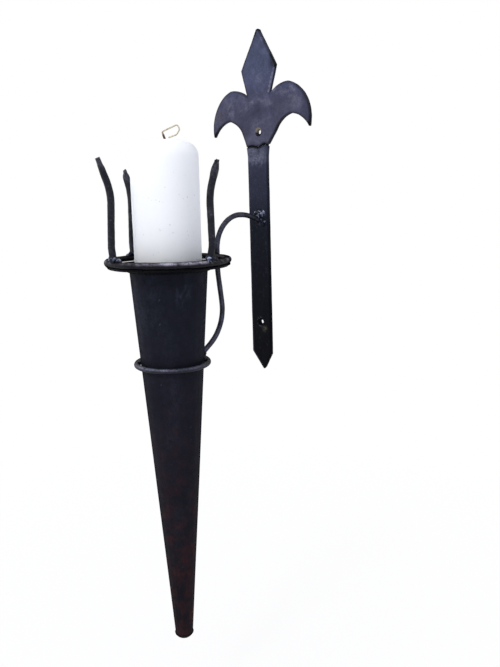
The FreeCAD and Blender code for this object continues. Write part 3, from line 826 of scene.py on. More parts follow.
# %% [markdown]
# ## Rods: the arm, the ring, the hoop and the prongs
#
# All of these are round bar. The arm is one rod bent in the plane x = 0, so its rings need no twist: the
# plane's own normal is their sideways direction. Its route is the solids' own: a flat stretch from the
# wall, an arch, a drop past the ring, and a sweep in to the hoop. Hammering leaves shallow flats.

# %% The bracket arm
arm_top_z, wall_arch_radius, arch_radius = 18.0, 67.0, 37.0
kick_z, kick_deg, kick_radius, sweep_deg, sweep_radius = -43.0, 8.2, 95.0, 35.0, 48.0
drop_y = axis_y + ring_radius + ring_rod + 0.1 + arm_rod
arch_y = drop_y + arch_radius
hoop_low, hoop_high = low_high("hoop")
hoop_rod = (hoop_high[2] - hoop_low[2]) / 2
hoop_radius = (hoop_high[0] - hoop_low[0]) / 2 - hoop_rod
hoop_z = (hoop_low[2] + hoop_high[2]) / 2


def wall_arch_z(y):
    """The height of the arm's arch by the wall, a circle that is level at its top."""
    return arm_top_z - wall_arch_radius + np.sqrt(wall_arch_radius ** 2 - (y - arch_y) ** 2)


fall, kick = np.radians(sweep_deg), np.tan(np.radians(kick_deg))
end_y = axis_y + hoop_radius + (hoop_rod + 0.5) * np.cos(fall)
end_z = hoop_z + (hoop_rod + 0.5) * np.sin(fall)
sweep_z = (end_z + (drop_y + kick * kick_z - end_y) * np.tan(fall)) / (1 + kick * np.tan(fall))
sweep_y = drop_y + kick * (kick_z - sweep_z)
wall_y = -plate_thickness - 0.1
wall_end = (wall_y, wall_arch_z(wall_y))
wall_mid = (wall_y + arch_y) / 2
arm_step = 1.2
arm_run = np.concatenate([
    arc_points(wall_end, (wall_mid, wall_arch_z(wall_mid)), (arch_y, arm_top_z), arm_step),
    arc_points((arch_y, arm_top_z),
               (arch_y - arch_radius * np.sqrt(0.5), arm_top_z - arch_radius * (1 - np.sqrt(0.5))),
               (drop_y, arm_top_z - arch_radius), arm_step),
    rounded_run([(drop_y, arm_top_z - arch_radius), (drop_y, kick_z), (sweep_y, sweep_z), (end_y, end_z)],
                (kick_radius, sweep_radius), arm_step),
])
arm_path = np.insert(arm_run, 0, 0.0, axis=1)


def rod_part(path, sideways, radius, uneven, seed, highlight_way):
    """A hammered round rod: rings along the path, each point pushed out by lumps of two sizes.

    Along the side that faces the given way it carries a painted highlight, as the cube of how squarely it faces it.
    """
    end_depth, sides = 0.6, 28
    path, radius = domed(path, radius, end_depth, end_depth)
    rings, outward = along(path, np.array(sideways, float), radius, radius, sides)
    shift = uneven * (rough(rings, 7, seed, 2) + 0.4 * lumps(rings, 1.8, seed + 5))
    fade = np.minimum(radius / radius.max(), 1)[:, None]
    rings = rings + outward * (shift * fade)[..., None]
    facing = np.clip(outward @ np.array(highlight_way), 0, 1) ** 3
    return capped(rings, np.clip(0.45 * facing + 0.15 * shift / uneven, 0, 1))


arm_radius = np.full(len(arm_path), arm_rod - 0.05)
arm_part = rod_part(arm_path, (1, 0, 0), arm_radius, 0.08, 31, highlight_way=(0.75, -0.6, 0.28))
arm = piece("bracket_arm_skin", arm_part, "sconce", ["bracket_arm"])
arm.data.materials.append(drawn_finish)

# %% [markdown]
# The ring and the hoop are closed loops, so their rings of points wrap round both ways. The ring was
# bent from rougher bar than the rest: it is pitted, and its butt joint shows as a lump at the front left.
# Its upper front is rubbed silver, with a painted highlight along it.

# %% The crown ring and the hoop
def loop_part(radius, rod, z, uneven, seed, wear_and_light, steps=300, sides=26, joint_deg=None):
    """A rod bent into a level circle round the torch's axis, uneven all over and thick at its butt joint."""
    angle = whole_turn(steps)
    turn = whole_turn(sides)
    out = np.stack([np.cos(angle), np.sin(angle), np.zeros(steps)], axis=-1)
    outward = np.cos(turn)[None, :, None] * out[:, None, :] + np.sin(turn)[None, :, None] * np.array([0, 0, 1.0])
    rings = np.array([0, axis_y, z]) + radius * out[:, None, :] + rod * outward
    shift = uneven * (rough(rings, 8, seed, 2) + 0.6 * lumps(rings, 2.2, seed + 3))
    if joint_deg is not None:
        away = (angle - np.radians(joint_deg) + np.pi) % (2 * np.pi) - np.pi
        shift += (0.55 * np.exp(-(away / np.radians(4)) ** 2))[:, None] * (1 + lumps(rings, 2.5, seed + 8))
    rings = rings + outward * shift[..., None]
    worn = wear_and_light(angle, turn, shift / uneven)
    return rings.reshape(-1, 3), [grid_faces(steps, sides, wrap_rows=True)], worn.ravel()


def ring_wear_and_highlight(angle, turn, high):
    """A narrow band along the rod's upper outer side, most at the front right: rubbed metal with a painted
    highlight, broken by pits.
    """
    away = (angle - np.radians(340) + np.pi) % (2 * np.pi) - np.pi
    front = np.exp(-(away / np.radians(38)) ** 2)
    upper = np.exp(-((turn - np.radians(36)) / np.radians(24)) ** 2)
    patches = np.clip(0.8 + 0.8 * high, 0.1, 1.3)
    return np.clip(front[:, None] * upper[None, :] * patches + 0.12 * high * upper[None, :], 0, 1)


def hoop_painted_highlight(angle, turn, high):
    """A painted highlight along the upper outer side, most at the torch's front, with faint wear on its lumps."""
    front = 0.5 + 0.5 * np.cos(angle - np.radians(300))
    upper = np.exp(-((turn - np.radians(34)) / np.radians(30)) ** 2)
    return np.clip(0.75 * front[:, None] ** 2 * upper[None, :] + 0.05 * high, 0, 1)


ring = piece("crown_ring_skin", loop_part(ring_radius, ring_rod - 0.1, ring_z, 0.17, 41, ring_wear_and_highlight, joint_deg=246),
             "sconce", ["crown_ring"])
ring.data.materials.append(ring_finish)
hoop = piece("hoop_skin", loop_part(hoop_radius, hoop_rod - 0.05, hoop_z, 0.04, 47, hoop_painted_highlight, steps=220, sides=22),
             "sconce", ["hoop"])
hoop.data.materials.append(drawn_finish)

# %% [markdown]
# The prongs are forged: each rod kinks out at its foot, leans in to a waist and flares out again, and
# its last stretch is beaten flat. The tips are ragged where the hammer split them. The rod's
# section turns from round to a flat oval, and the end is closed by a ladder of faces across the blade, so
# that its jagged edge stays thin.

# %% The prongs
prong_rod, forged_length = 3.6, 20.0
prong_foot, prong_shoulder = 9.5, 17.0
prongs = {
    # angle round the torch; foot and shoulder radius; waist and tip (height, radius); spread and tip width;
    # tip thickness; tip form
    "front": (264.0, 63.8, 64.5, (70.0, 61.6), (101.5, 73.6), 8.2, 6.8, 4.4, "round"),
    "left": (180.0, 62.5, 63.2, (66.5, 60.6), (95.5, 69.8), 9.0, 4.6, 3.0, "leaf"),
    "right": (3.5, 62.5, 64.5, (66.5, 62.9), (97.5, 74.2), 9.8, 6.2, 3.4, "split"),
}


def prong_path(foot, shoulder, waist, tip):
    """(radius, height) points of a prong's middle line: foot, kink, shoulder, waist and tip."""
    corners = [(foot, ring_rod + 0.1), (foot, prong_foot), (shoulder, prong_shoulder), waist[::-1], tip[::-1]]
    return rounded_run(corners, (9, 16, 54), 0.8)


def tip_form(form, sideways, half_width):
    """How far each point of the end goes on or falls back, by its place across the blade from -1 to 1."""
    across = np.clip(sideways / half_width, -1, 1)
    if form == "round":
        return -2.6 * (1 - np.sqrt(np.clip(1 - 0.95 * across ** 2, 0, 1)))
    if form == "leaf":
        return -2.4 * np.abs(across) ** 1.5
    notches = np.exp(-((across + 0.35) / 0.2) ** 2) + 0.7 * np.exp(-((across - 0.35) / 0.2) ** 2)
    return 0.6 - 2.6 * notches - 0.8 * np.abs(across)


def prong_part(angle_deg, foot, shoulder, waist, tip, spread, tip_width, tip_thickness, form, seed):
    """A forged prong: rings along its line whose oval grows flat, with a ragged end."""
    run = prong_path(foot, shoulder, waist, tip)
    angle = np.radians(angle_deg)
    out = np.array([np.cos(angle), np.sin(angle), 0])
    across = np.array([-np.sin(angle), np.cos(angle), 0])
    path = np.array([0, axis_y, ring_z]) + run[:, :1] * out + run[:, 1:] * np.array([0, 0, 1.0])
    length = length_along(path)
    left = length[-1] - length
    flat = smooth_step(forged_length, 0, left)
    narrow = smooth_step(forged_length / 2, 0, left)
    width = prong_rod + (spread / 2 - prong_rod) * smooth_step(forged_length, forged_length / 2, left)
    width += (tip_width / 2 - spread / 2) * narrow
    height = prong_rod + (tip_thickness / 2 - prong_rod) * flat
    rings, outward = along(path, across, width - 0.1, height - 0.1, 40)
    beaten = 0.10 + 0.25 * flat[:, None]
    shift = np.minimum(beaten * (rough(rings, 6, seed, 3) + 0.5 * lumps(rings, 1.6, seed + 2)), 0.08)
    rings = rings + outward * shift[..., None]
    heading = unit(path[-1] - path[-3])
    sideways = (rings - path[:, None, :]) @ across
    jag = tip_form(form, sideways, tip_width / 2) + 0.30 * lumps(rings, 1.1, seed + 7)
    rings = rings + heading * (jag * smooth_step(7, 0, left)[:, None])[..., None]
    high = shift / beaten
    scratched = np.clip(lumps(rings, 1.3, seed + 9) - 0.55, 0, 1) * smooth_step(60, 30, np.abs(left - 70))[:, None]
    worn = np.clip(0.10 * high + 0.9 * scratched + flat[:, None] * (0.10 + 0.45 * high), 0, 1)
    return rings, worn


def ladder_capped(rings, wear_and_light):
    """Rings closed at the far end by rungs across the section, and at the near end by a pole."""
    rows, columns = rings.shape[:2]
    points, groups, worn = capped(rings, wear_and_light)
    first_row = (rows - 1) * columns
    k = np.arange(columns // 2)
    rungs = np.stack([k, k + 1, (columns - 1 - k) % columns, (columns - k) % columns], axis=-1) + first_row
    half = columns // 2
    tips = np.array([[0, 1, columns - 1], [half - 1, half, half + 1]]) + first_row
    return points[:-1], [groups[0], groups[1], rungs[1:-1], tips], worn[:-1]


for number, (name, shape) in enumerate(prongs.items()):
    made = piece(f"prong_{name}_skin", ladder_capped(*prong_part(*shape, 60 + 11 * number)), "sconce",
                 [f"prong_{name}"])
    made.data.materials.append(forged_finish)

# %% [markdown]
# ## Pan, cone, tip
#
# Turned shapes: each is a profile carried round the torch's axis. The pan is thick sheet with a slightly
# wavy rim. The cone was rolled by hand from sheet, so its sides have faint flats that run down its
# length, and it is closed by a domed plug.

# %% The drip pan, the cone and its tip
pan_low, pan_high = low_high("drip_pan")
cone_low, cone_high = low_high("cone_body")
tip_low, tip_high = low_high("cone_tip")
pan_radius = (pan_high[0] - pan_low[0]) / 2
cone_top_radius = (cone_high[0] - cone_low[0]) / 2
cone_tip_radius = (tip_high[0] - tip_low[0]) / 2
cone_slope = (cone_top_radius - cone_tip_radius) / (cone_high[2] - cone_low[2])


def cone_radius(z):
    """The cone's radius at a height, on its straight slope."""
    return cone_top_radius - (cone_high[2] - z) * cone_slope


def disc_profile(radius, low, high, edge):
    """(radius, height) points over a flat disc: out along its top, round its edge and back underneath."""
    spacing = 2.5
    out = np.arange(spacing / 2, radius - edge, spacing)
    turn = np.linspace(0, np.pi, 9)
    middle = (low + high) / 2
    rim = np.stack([radius - edge + edge * np.sin(turn), middle + (high - low) / 2 * np.cos(turn)], axis=-1)
    top = np.stack([out, np.full(len(out), high)], axis=-1)
    return np.concatenate([top, rim, np.stack([out[::-1], np.full(len(out), low)], axis=-1)])


pan_rows, _ = turned(disc_profile(pan_radius - 0.1, pan_low[2], pan_high[2], 1.5), 240)
pan_far = np.hypot(pan_rows[..., 0], pan_rows[..., 1] - axis_y) / pan_radius
rim_shift = 0.25 * lumps(pan_rows, 9, 51) * smooth_step(0.9, 1, pan_far)
pan_rows = pan_rows + out_from_axis(pan_rows) * rim_shift[..., None]
pan_rows[..., 2] -= 0.06 * (1 + rough(pan_rows * [1, 1, 0], 12, 52, 2)) * smooth_step(0.3, 0.5, pan_far)
pan = piece("drip_pan_skin", capped(pan_rows, 0.1 * smooth_step(0.96, 1, pan_far)), "sconce", ["drip_pan"])
pan.data.materials.append(soot_finish)

cone_heights = np.linspace(cone_high[2], cone_low[2], 260)
outer = np.stack([cone_radius(cone_heights), cone_heights], axis=-1)
inner = outer[::-1] - [1.5, 0.0]
cone_rows, cone_angle = turned(np.concatenate([outer, inner]), 180)
rolled = 0.10 * np.cos(19 * cone_angle + 0.01 * cone_rows[..., 2]) + 0.16 * lumps(cone_rows * [1, 1, 0.25], 24, 71)
ends_fade = smooth_step(0, 8, cone_high[2] - cone_rows[..., 2]) * smooth_step(0, 8, cone_rows[..., 2] - cone_low[2])
cone_rows = cone_rows + out_from_axis(cone_rows) * ((rolled - 0.12) * ends_fade)[..., None]
cone_points = cone_rows.reshape(-1, 3)
side_way = np.degrees(cone_angle) % 360
below_pan = cone_high[2] - cone_rows[..., 2]
# Scuffs on the cone's front right and front, broken into streaks: wear with a painted sheen.
scuffs_and_sheen = spot_at(side_way, below_pan, (341, 24), (10, 12))
scuffs_and_sheen += 0.2 * spot_at(side_way, below_pan, (292, 40), (16, 40))
streaks = np.clip(rough(cone_rows * [1, 1, 0.35], 2.6, 74, 2) + 0.15, 0, 1)
specks = np.clip(lumps(cone_rows, 1.9, 76) - 0.9, 0, 0.1) * 9
cone_wear_and_sheen = np.clip(0.5 * scuffs_and_sheen * streaks + specks + 0.10 * rough(cone_rows * [1, 1, 0.3], 20, 75, 3), 0, 1)
cone = piece("cone_body_skin", (cone_points, [grid_faces(*cone_rows.shape[:2], wrap_rows=True)], cone_wear_and_sheen.ravel()),
             "sconce", ["cone_body"])
cone.data.materials.append(sheet_finish)

dome_turn = np.linspace(0.02, np.pi / 2, 14)
dome_height = tip_high[2] - tip_low[2]
dome = np.stack([cone_tip_radius * np.sin(dome_turn), tip_high[2] - dome_height * np.cos(dome_turn)], axis=-1)
lid = np.stack([np.array([0.66, 0.33, 0.05]) * cone_tip_radius, np.full(3, tip_high[2])], axis=-1)
tip_rows, _ = turned(np.concatenate([dome, lid]), 64)
tip_rows = tip_rows + out_from_axis(tip_rows) * (0.15 * (rough(tip_rows, 5, 81, 2) - 1))[..., None]
tip_part = capped(tip_rows, np.full(tip_rows.shape[:2], 0.2))
tip = piece("cone_tip_skin", tip_part, "sconce", ["cone_tip"])
tip.data.materials.append(sheet_finish)

# %% [markdown]
# ## Welds
#
# A weld is metal that ran and froze. Beads laid along a joint show ripples where each drop overlapped the
# last one. Tacks are single drops. Where the arm meets the bar, several drops were piled up. Three shapes
# cover them: a rippled bead along a path, a ball of drops round a joint, and a mound on a face.

# %% Beads, drops and mounds
def bead_part(path, sideways, radius, seed, closed=False, ripple=2.6, uneven=0.22):
    """A bead along a path: its radius swells every ripple millimetres and wanders by lumps."""
    length = length_along(path)
    swell = 1 + 0.13 * np.cos(2 * np.pi * length / ripple)
    size = radius * swell
    if not closed:
        path, size = domed(path, size, radius * 0.8, radius * 0.8)
    rings, outward = along(path, np.array(sideways, float), size, size, 16)
    shift = radius * uneven * rough(rings, radius * 1.6, seed, 2)
    rings = rings + outward * (shift * np.minimum(size / radius, 1)[:, None])[..., None]
    # Painted highlights on the bead's crests.
    worn = np.clip(1.1 * shift / radius - 0.1, 0, 1)
    if closed:
        return rings[:-1].reshape(-1, 3), [grid_faces(len(path) - 1, 16, wrap_rows=True)], worn[:-1].ravel()
    return capped(rings, worn)


def drop_part(centre, radii, seed, uneven=0.22, rows=26, columns=36, bright=0.0):
    """A drop: a ball with its own three radii, pushed in or out by lumps, with painted highlights on its crests
    and its top.
    """
    polar = np.linspace(0.05, np.pi - 0.05, rows)[:, None]
    angle = whole_turn(columns)[None, :]
    level = np.sin(polar)
    way = np.stack([level * np.cos(angle), level * np.sin(angle), np.cos(polar) + 0 * angle], axis=-1)
    points = np.array(centre) + way * np.array(radii)
    lump = rough(points, max(radii) * 0.9, seed, 3)
    points = points + way * np.array(radii) * (uneven * (lump - 0.35))[..., None]
    # Painted highlights on the crests and the top, raised or lowered by bright.
    worn = np.clip(0.8 * lump + 0.2 * way[..., 2] - 0.35 + bright, 0, 1)
    return capped(points, worn)


def mound_part(centre, spread, height, seed):
    """Drops piled on the bar's face: the height falls off as (1 - rho^2)^0.7, the rim and the top wander."""
    rows, columns = 30, 72
    rho = np.linspace(0.03, 1, rows)[:, None]
    angle = whole_turn(columns)[None, :]
    rim = np.stack([np.cos(angle), 0 * angle, np.sin(angle)], axis=-1)
    reach = 1 + 0.16 * lumps(rim * 1.6, 1, seed)
    points = np.array(centre) + rho[..., None] * reach[..., None] * rim * np.array([spread[0], 0, spread[1]])
    lump = rough(points, 5.5, seed + 1, 3)
    rise = height * (1 - rho ** 2) ** 0.7 * (0.80 + 0.45 * lump)
    points[..., 1] -= rise
    under = np.array([[0, 1.0, 0]]) * 0.6 + points[-1]
    floor_row = np.array(centre) + (under - np.array(centre)) * [0.5, 1, 0.5]
    rows_all = np.concatenate([points, under[None], floor_row[None]])
    # Painted glints on the crests of the lumps.
    worn = np.clip(1.9 * lumps(points, 2.4, seed + 4) + 0.5 * lump - 0.6, 0, 1)
    return capped(rows_all, np.concatenate([worn, worn[-1:], worn[-1:]]))


def on_torch(radius, angle_deg, z):
    """The point at this radius and angle round the torch's axis."""
    angle = np.radians(angle_deg)
    return np.array([radius * np.cos(angle), axis_y + radius * np.sin(angle), z])


def circle_path(radius, z, start_deg, stop_deg, step):
    """Points about a step apart on a level circle round the torch's axis, from one angle to another."""
    count = max(int(np.radians(stop_deg - start_deg) * radius / step), 8)
    angle = np.radians(np.linspace(start_deg, stop_deg, count + 1))
    return np.stack([radius * np.cos(angle), axis_y + radius * np.sin(angle), np.full(count + 1, z)], axis=-1)


# %% Place the welds
def weld(name, parts, nodes, finish=weld_finish):
    """A weld's piece from its beads, drops and mounds."""
    made = piece(name, join(*parts) if len(parts) > 1 else parts[0], "sconce", nodes)
    made.data.materials.append(finish)
    return made


weld_y = -plate_thickness + 0.1
mound_z = wall_end[1] + 4.5
spatter = [(-12.5, 17.5, 0.9), (-12.0, -1.5, 0.8), (-10.6, 20.4, 0.6), (10.5, 7.0, 0.6), (-9.5, -4.5, 0.5),
           (-4.0, 30.5, 0.5), (3.5, 34.0, 0.45), (-8.5, 36.5, 0.5), (6.8, 41.2, 0.4), (-1.2, 45.0, 0.45),
           (9.1, 28.0, 0.4), (-10.8, 49.5, 0.4), (2.2, 56.0, 0.4), (-6.0, 61.0, 0.4), (8.0, -22.0, 0.4)]
wall_drops = [drop_part((x, -plate_thickness, z), (r, r * 0.9, r), 90 + k, 0.2, 10, 14)
              for k, (x, z, r) in enumerate(spatter)]
# Each run-down's bright value sets its painted highlight.
run_downs = [drop_part((4.6, weld_y - 1.6, mound_z - 6.6), (4.6, 2.6, 3.6), 86, 0.2, bright=-0.5),
             drop_part((1.8, weld_y - 3.4, mound_z + 1.4), (1.5, 1.2, 3.8), 87, 0.2, bright=0.7),
             drop_part((-4.8, weld_y - 3.0, mound_z + 4.2), (2.6, 1.6, 1.8), 88, 0.2, bright=0.2)]
weld("arm_wall_weld_skin", [mound_part((0.0, weld_y, mound_z), (10.2, 10.2), 4.3, 85)] + run_downs + wall_drops,
     ["arm_wall_weld"])
weld("arm_ring_weld_skin", [drop_part((0, axis_y + ring_radius + ring_rod, ring_z), (5.4, 4.8, 5.4), 101, 0.2)],
     ["arm_ring_weld"], seam_finish)
weld("arm_hoop_weld_skin", [drop_part((0, end_y, end_z), (5.6, 5.6, 5.6), 103, 0.2)], ["arm_hoop_weld"],
     seam_finish)
prong_drops = {
    # offset from the foot on the ring's top, (along X, along Y, upwards); radii; how bright its painted highlight
    # is
    "front": [((0, 0, 1.2), (5.4, 5.2, 4.6), 0.0), ((-2.6, -2.6, 2.2), (1.8, 2.2, 3.4), 0.55),
              ((5.6, 0.6, 0.6), (4.4, 2.4, 2.0), 0.35)],
    "left": [((0, 0, 1.2), (5.2, 5.2, 4.2), -0.2), ((0, -4.5, 0), (3.4, 4.2, 2.2), -0.1)],
    "right": [((0, 0, 1.2), (5.4, 5.4, 4.6), -0.1), ((1.2, -3.4, 0.6), (3.4, 3.6, 3.0), 0.6),
              ((-0.5, 5.0, 0.2), (3.2, 4.4, 2.4), -0.1)],
}
for number, (name, drops) in enumerate(prong_drops.items()):
    foot = on_torch(ring_radius, prongs[name][0], ring_z + ring_rod)
    parts = [drop_part(foot + np.array(offset), radii, 110 + 5 * number + k, 0.24, bright=bright)
             for k, (offset, radii, bright) in enumerate(drops)]
    weld(f"prong_{name}_weld_skin", parts, [f"prong_{name}_weld"])

fillet = circle_path(cone_top_radius + 1.2, pan_low[2] - 1.6, 0, 360, 0.9)
weld("pan_cone_weld_skin", [bead_part(fillet, (0, 0, 1), 2.2, 121, closed=True, ripple=4.2)], ["pan_cone_weld"],
     soot_finish)
pan_tacks = (225.0, 292.0, 335.0, 45.0, 135.0)
weld("ring_pan_welds_skin",
     [bead_part(circle_path(pan_radius + 0.4, pan_high[2] - 0.8, a - 6, a + 6, 0.7), (0, 0, 1), 1.1, 130 + k)
      for k, a in enumerate(pan_tacks)], ["ring_pan_welds"], soot_finish)
hoop_tacks = (230.0, 268.0, 325.0, 50.0, 150.0)
weld("hoop_welds_skin",
     [drop_part(on_torch(cone_radius(hoop_z) + 0.9, a, hoop_z + 0.6), (2.3, 2.3, 2.2), 140 + k, 0.25, 14, 20)
      for k, a in enumerate(hoop_tacks)], ["hoop_welds"], seam_finish)
seam_heights = np.arange(cone_low[2] + 3, cone_high[2] - 8, 0.9)
seam_path = np.stack([on_torch(cone_radius(z) - 0.2, 135.0, z) for z in seam_heights])
across_seam = (np.cos(np.radians(225)), np.sin(np.radians(225)), 0)
weld("cone_seam_weld_skin", [bead_part(seam_path, across_seam, 1.15, 151, ripple=3.2)], ["cone_seam_weld"],
     seam_finish)
tip_circle = circle_path(cone_tip_radius - 0.1, cone_low[2], 0, 360, 0.5)
weld("cone_tip_weld_skin", [bead_part(tip_circle, (0, 0, 1), 0.85, 161, closed=True, ripple=2.4)],
     ["cone_tip_weld"], seam_finish)

# %% [markdown]
# The joint between finial and bar was welded from behind. From the front it is a dark, uneven crack, with
# a thin lip of weld metal squeezed out below it. The crack is the solids' own gap: the filler stays below
# the face. The lip is a thin rippled bead on the bar.

# %% The finial's weld
seam_x = np.arange(neck_offset - neck_width / 2 + 1.2, neck_offset + neck_width / 2 - 1.2, 0.5)
seam_line = np.stack([seam_x, np.full(len(seam_x), -plate_thickness + 2.3), seam_z + crack(seam_x)], axis=-1)
lip_x = np.arange(-17.0, 10.5, 0.45)
lip_line = np.stack([lip_x, np.full(len(lip_x), -plate_thickness + 0.35),
                     seam_z + crack(lip_x) - crack_width(lip_x) / 2 - 1.1], axis=-1)
weld("finial_weld_skin", [bead_part(seam_line, (0, 1, 0), 1.25, 171, ripple=3.0)], ["finial_weld"], seam_finish)
lip = piece("seam_lip", bead_part(lip_line, (0, 1, 0), 0.7, 172, uneven=0.35), "sconce", None)
lip.data.materials.append(weld_finish)

# %% [markdown]
# ## The spike
#
# The pricket and its weld stand under the candle, out of sight until it is lifted off. Their solids'
# shape is right as it is, so they only take the rods' finish.

# %% Finish the spike
for node in ("pricket", "pricket_weld"):
    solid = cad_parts[node]
    solid.data.materials.clear()
    solid.data.materials.append(forged_finish)
    print(node, "keeps its solid")

# %% [markdown]
# ## The candle
#
# One turned profile: up the bore that takes the spike, out along the foot, up the side, and over the
# rounded shoulder to a shallow dip round the wick. Poured wax is a little uneven, never more than a few
# tenths of a millimetre.

# %% The candle's wax
wax_low, wax_high = low_high("candle_wax")
candle_radius = (wax_high[0] - wax_low[0]) / 2
candle_top, candle_foot = wax_high[2], wax_low[2]
bore_radius, bore_depth = 3.0, 24.5
flat_radius, shoulder_drop, shoulder_in, shoulder_down = 16.5, 13.5, 5.4, 4.0
shoulder = arc_points((candle_radius, candle_top - shoulder_drop),
                      (candle_radius - shoulder_in, candle_top - shoulder_down), (flat_radius, candle_top), 0.8)
candle_profile = np.concatenate([
    line_points((0.4, candle_foot + bore_depth), (bore_radius, candle_foot + bore_depth), 0.8),
    line_points((bore_radius, candle_foot + bore_depth), (bore_radius, candle_foot), 1.5),
    line_points((bore_radius, candle_foot), (candle_radius - 1, candle_foot), 2),
    arc_points((candle_radius - 1, candle_foot), (candle_radius - 0.29, candle_foot + 0.29),
               (candle_radius, candle_foot + 1), 0.3),
    line_points((candle_radius, candle_foot + 1), (candle_radius, candle_top - shoulder_drop), 1.5),
    shoulder,
    line_points((flat_radius, candle_top), (0.4, candle_top), 0.8),
])
wax_rows, _ = turned(candle_profile, 180)
far = np.hypot(wax_rows[..., 0], wax_rows[..., 1] - axis_y)
on_top = smooth_step(candle_top - 4, candle_top - 0.5, wax_rows[..., 2])
wax_rows[..., 2] -= on_top * (0.9 * np.exp(-(far / 6) ** 2) + 0.12 * (1 + lumps(wax_rows, 9, 201)))
side = smooth_step(candle_radius - 4, candle_radius - 1, far)
wax_rows = wax_rows + out_from_axis(wax_rows) * (0.09 * side * (rough(wax_rows, 26, 203, 2) - 1))[..., None]
wax = piece("candle_wax_skin", capped(wax_rows, np.zeros(wax_rows.shape[:2])), "candle", ["candle_wax"])
wax.data.materials.append(wax_finish)

# %% [markdown]
# The wick stands up out of the wax, loops over and comes back down. It lies in one upright plane, so it
# is a rod along a flat path. Two plies twisted together give it ridges: the radius swells with twice the
# angle less a steady turn along the length. Its foot is thick, and burnt brown.

# %% The wick
wick_corners = [(1.8, -4.0), (1.8, 1.5), (-0.9, 8.9), (14.6, 15.6), (17.0, 11.0), (13.6, 5.8), (5.6, 3.2)]
wick_run = rounded_run(wick_corners, (2.0, 1.8, 2.2, 3.0, 3.0), 0.28)
lean = np.radians(45)
wick_way, wick_side = np.array([np.cos(lean), np.sin(lean), 0]), np.array([-np.sin(lean), np.cos(lean), 0])
wick_path = np.array([0, axis_y, candle_top]) + wick_run[:, :1] * wick_way + wick_run[:, 1:] * np.array([0, 0, 1.0])
wick_far = length_along(wick_run)
wick_radius = 0.72 + 0.38 * smooth_step(15, 8, wick_far)
wick_path, wick_radius = domed(wick_path, wick_radius, 0.3, 0.5)
wick_rings, wick_out = along(wick_path, wick_side, wick_radius, wick_radius, 18)
wick_far = length_along(wick_path)
strand = whole_turn(18)[None, :]
ply = 0.12 * np.abs(np.cos(strand - 1.1 * wick_far[:, None])) + 0.1 * lumps(wick_rings, 1.4, 211) - 0.06
wick_rings = wick_rings + wick_out * (ply * wick_radius[:, None])[..., None]
burnt = smooth_step(15, 9, wick_far)[:, None] * np.ones_like(ply)
wick = piece("candle_wick_skin", capped(wick_rings, burnt), "candle", ["candle_wick"])
wick.data.materials.append(wick_finish)

# %% [markdown]
# ## Floor, light and background
#
# The torch hangs clear of everything, over a plain pale floor. The floor and the world look white to the
# camera, while only part of that white is the floor's own paper, so that it still takes a shadow. Three
# soft lamps light the iron: a key high in front and left of the camera, a weak, broad one at the left, and
# one above.

# %% The floor
floor_z, floor_half = -560.0, 6000.0
floor_points = np.array([[-1, -1, 0], [1, -1, 0], [1, 1, 0], [-1, 1, 0]]) * floor_half + [0, 0, floor_z]
floor_mesh = bpy.data.meshes.new("floor")
floor_mesh.from_pydata((floor_points * MM).tolist(), [], [(0, 1, 2, 3)])
floor = bpy.data.objects.new("floor", floor_mesh)
bpy.context.scene.collection.objects.link(floor)


def seen_directly(tree):
    """1 for rays that look at a surface from the camera, in a reflection or through glass, 0 for lighting rays."""
    path = tree.nodes.new("ShaderNodeLightPath")
    total = path.outputs["Is Camera Ray"]
    for kind in ("Is Glossy Ray", "Is Transmission Ray"):
        most = tree.nodes.new("ShaderNodeMath")
        most.operation = "MAXIMUM"
        tree.links.new(total, most.inputs[0])
        tree.links.new(path.outputs[kind], most.inputs[1])
        total = most.outputs[0]
    return total


paper = Finish("white_paper")
paper.surface(colour(247, 247, 248), 0.8, specular=0.2)
glow = paper.add("ShaderNodeEmission", {"Color": (1, 1, 1, 1), "Strength": 1.0})
mixed = paper.add("ShaderNodeMixShader")
foot_point = (0.0, axis_y * MM, floor_z * MM)
away = paper.add("ShaderNodeVectorMath", operation="DISTANCE")
paper.put(away.inputs[0], paper.place)
away.inputs[1].default_value = foot_point
glowing = paper.between(away.outputs["Value"], 0.15, 0.9, 0.88, 1.0)
paper.put(mixed.inputs[0], paper.times(seen_directly(paper.tree), glowing))
paper.put(mixed.inputs[1], paper.shader.outputs[0])
paper.put(mixed.inputs[2], glow.outputs[0])
paper.put(paper.tree.nodes["Material Output"].inputs["Surface"], mixed.outputs[0])
floor_mesh.materials.append(paper.material)

# %% The lamps and the world
def placing(right, up, back, place):
    """The matrix of a lamp or camera at a place: its columns are its right, up and backward directions."""
    rows = zip(np.stack([right, up, back], axis=1), place)
    return Matrix([[*row, shift] for row, shift in rows] + [[0, 0, 0, 1]])


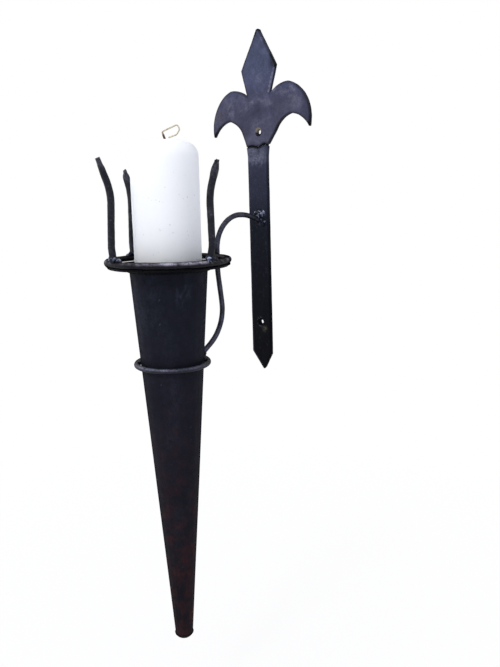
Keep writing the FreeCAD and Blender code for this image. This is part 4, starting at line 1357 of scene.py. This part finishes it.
def softbox(name, place, aim, size, watts):
    """A square lamp of that size in metres, turned so that it shines from its place at the aim."""
    lamp = bpy.data.lights.new(name, "AREA")
    lamp.shape, lamp.size, lamp.energy = "SQUARE", size, watts
    made = bpy.data.objects.new(name, lamp)
    bpy.context.scene.collection.objects.link(made)
    back = unit(np.array(place, float) - np.array(aim, float))
    right = unit(np.cross([0, 0, 1.0], back))
    made.matrix_world = placing(right, np.cross(back, right), back, place)


torch_middle = (0.0, -0.1, 0.0)
softbox("key", (0.3, -2.0, 1.3), torch_middle, 0.5, 17)
softbox("fill", (-1.9, -0.9, 0.4), torch_middle, 1.2, 4)
softbox("top", (0.0, -0.6, 1.9), torch_middle, 0.7, 5)

world = bpy.data.worlds.new("white_room")
world.use_nodes = True
bpy.context.scene.world = world
ambient = world.node_tree.nodes["Background"]
tints = world.node_tree.nodes.new("ShaderNodeMix")
tints.data_type = "RGBA"
tints.inputs[6].default_value = (0.72, 0.75, 0.83, 1.0)
tints.inputs[7].default_value = (1.0, 1.0, 1.0, 1.0)
world.node_tree.links.new(seen_directly(world.node_tree), tints.inputs[0])
world.node_tree.links.new(tints.outputs[2], ambient.inputs["Color"])
bpy.context.scene.view_settings.view_transform = "Standard"

# %% [markdown]
# ## The camera
#
# It stands 45 degrees to the right of the plate's front, a little above the ring, and looks slightly
# down. Its long side takes in 667 picture points at a focal length of 640.

# %% The camera
azimuth, pitch, roll = np.radians([44.72, 11.35, -1.06])
forward = np.array([-np.sin(azimuth) * np.cos(pitch), np.cos(azimuth) * np.cos(pitch), -np.sin(pitch)])
level_right = np.array([np.cos(azimuth), np.sin(azimuth), 0])
level_up = np.cross(level_right, forward)
right = np.cos(roll) * level_right + np.sin(roll) * level_up
up = -np.sin(roll) * level_right + np.cos(roll) * level_up
camera = bpy.data.objects.new("camera", bpy.data.cameras.new("camera"))
bpy.context.scene.collection.objects.link(camera)
sensor_width, focal_points, picture_points = 36.0, 640, 667
camera.data.sensor_width, camera.data.lens = sensor_width, sensor_width * focal_points / picture_points
camera_place = (0.5305, -0.5595, 0.0287)
camera.matrix_world = placing(right, up, -forward, camera_place)
camera.data.clip_start = 0.01
bpy.context.scene.camera = camera
print("camera at", camera_place, "lens", round(camera.data.lens, 2))
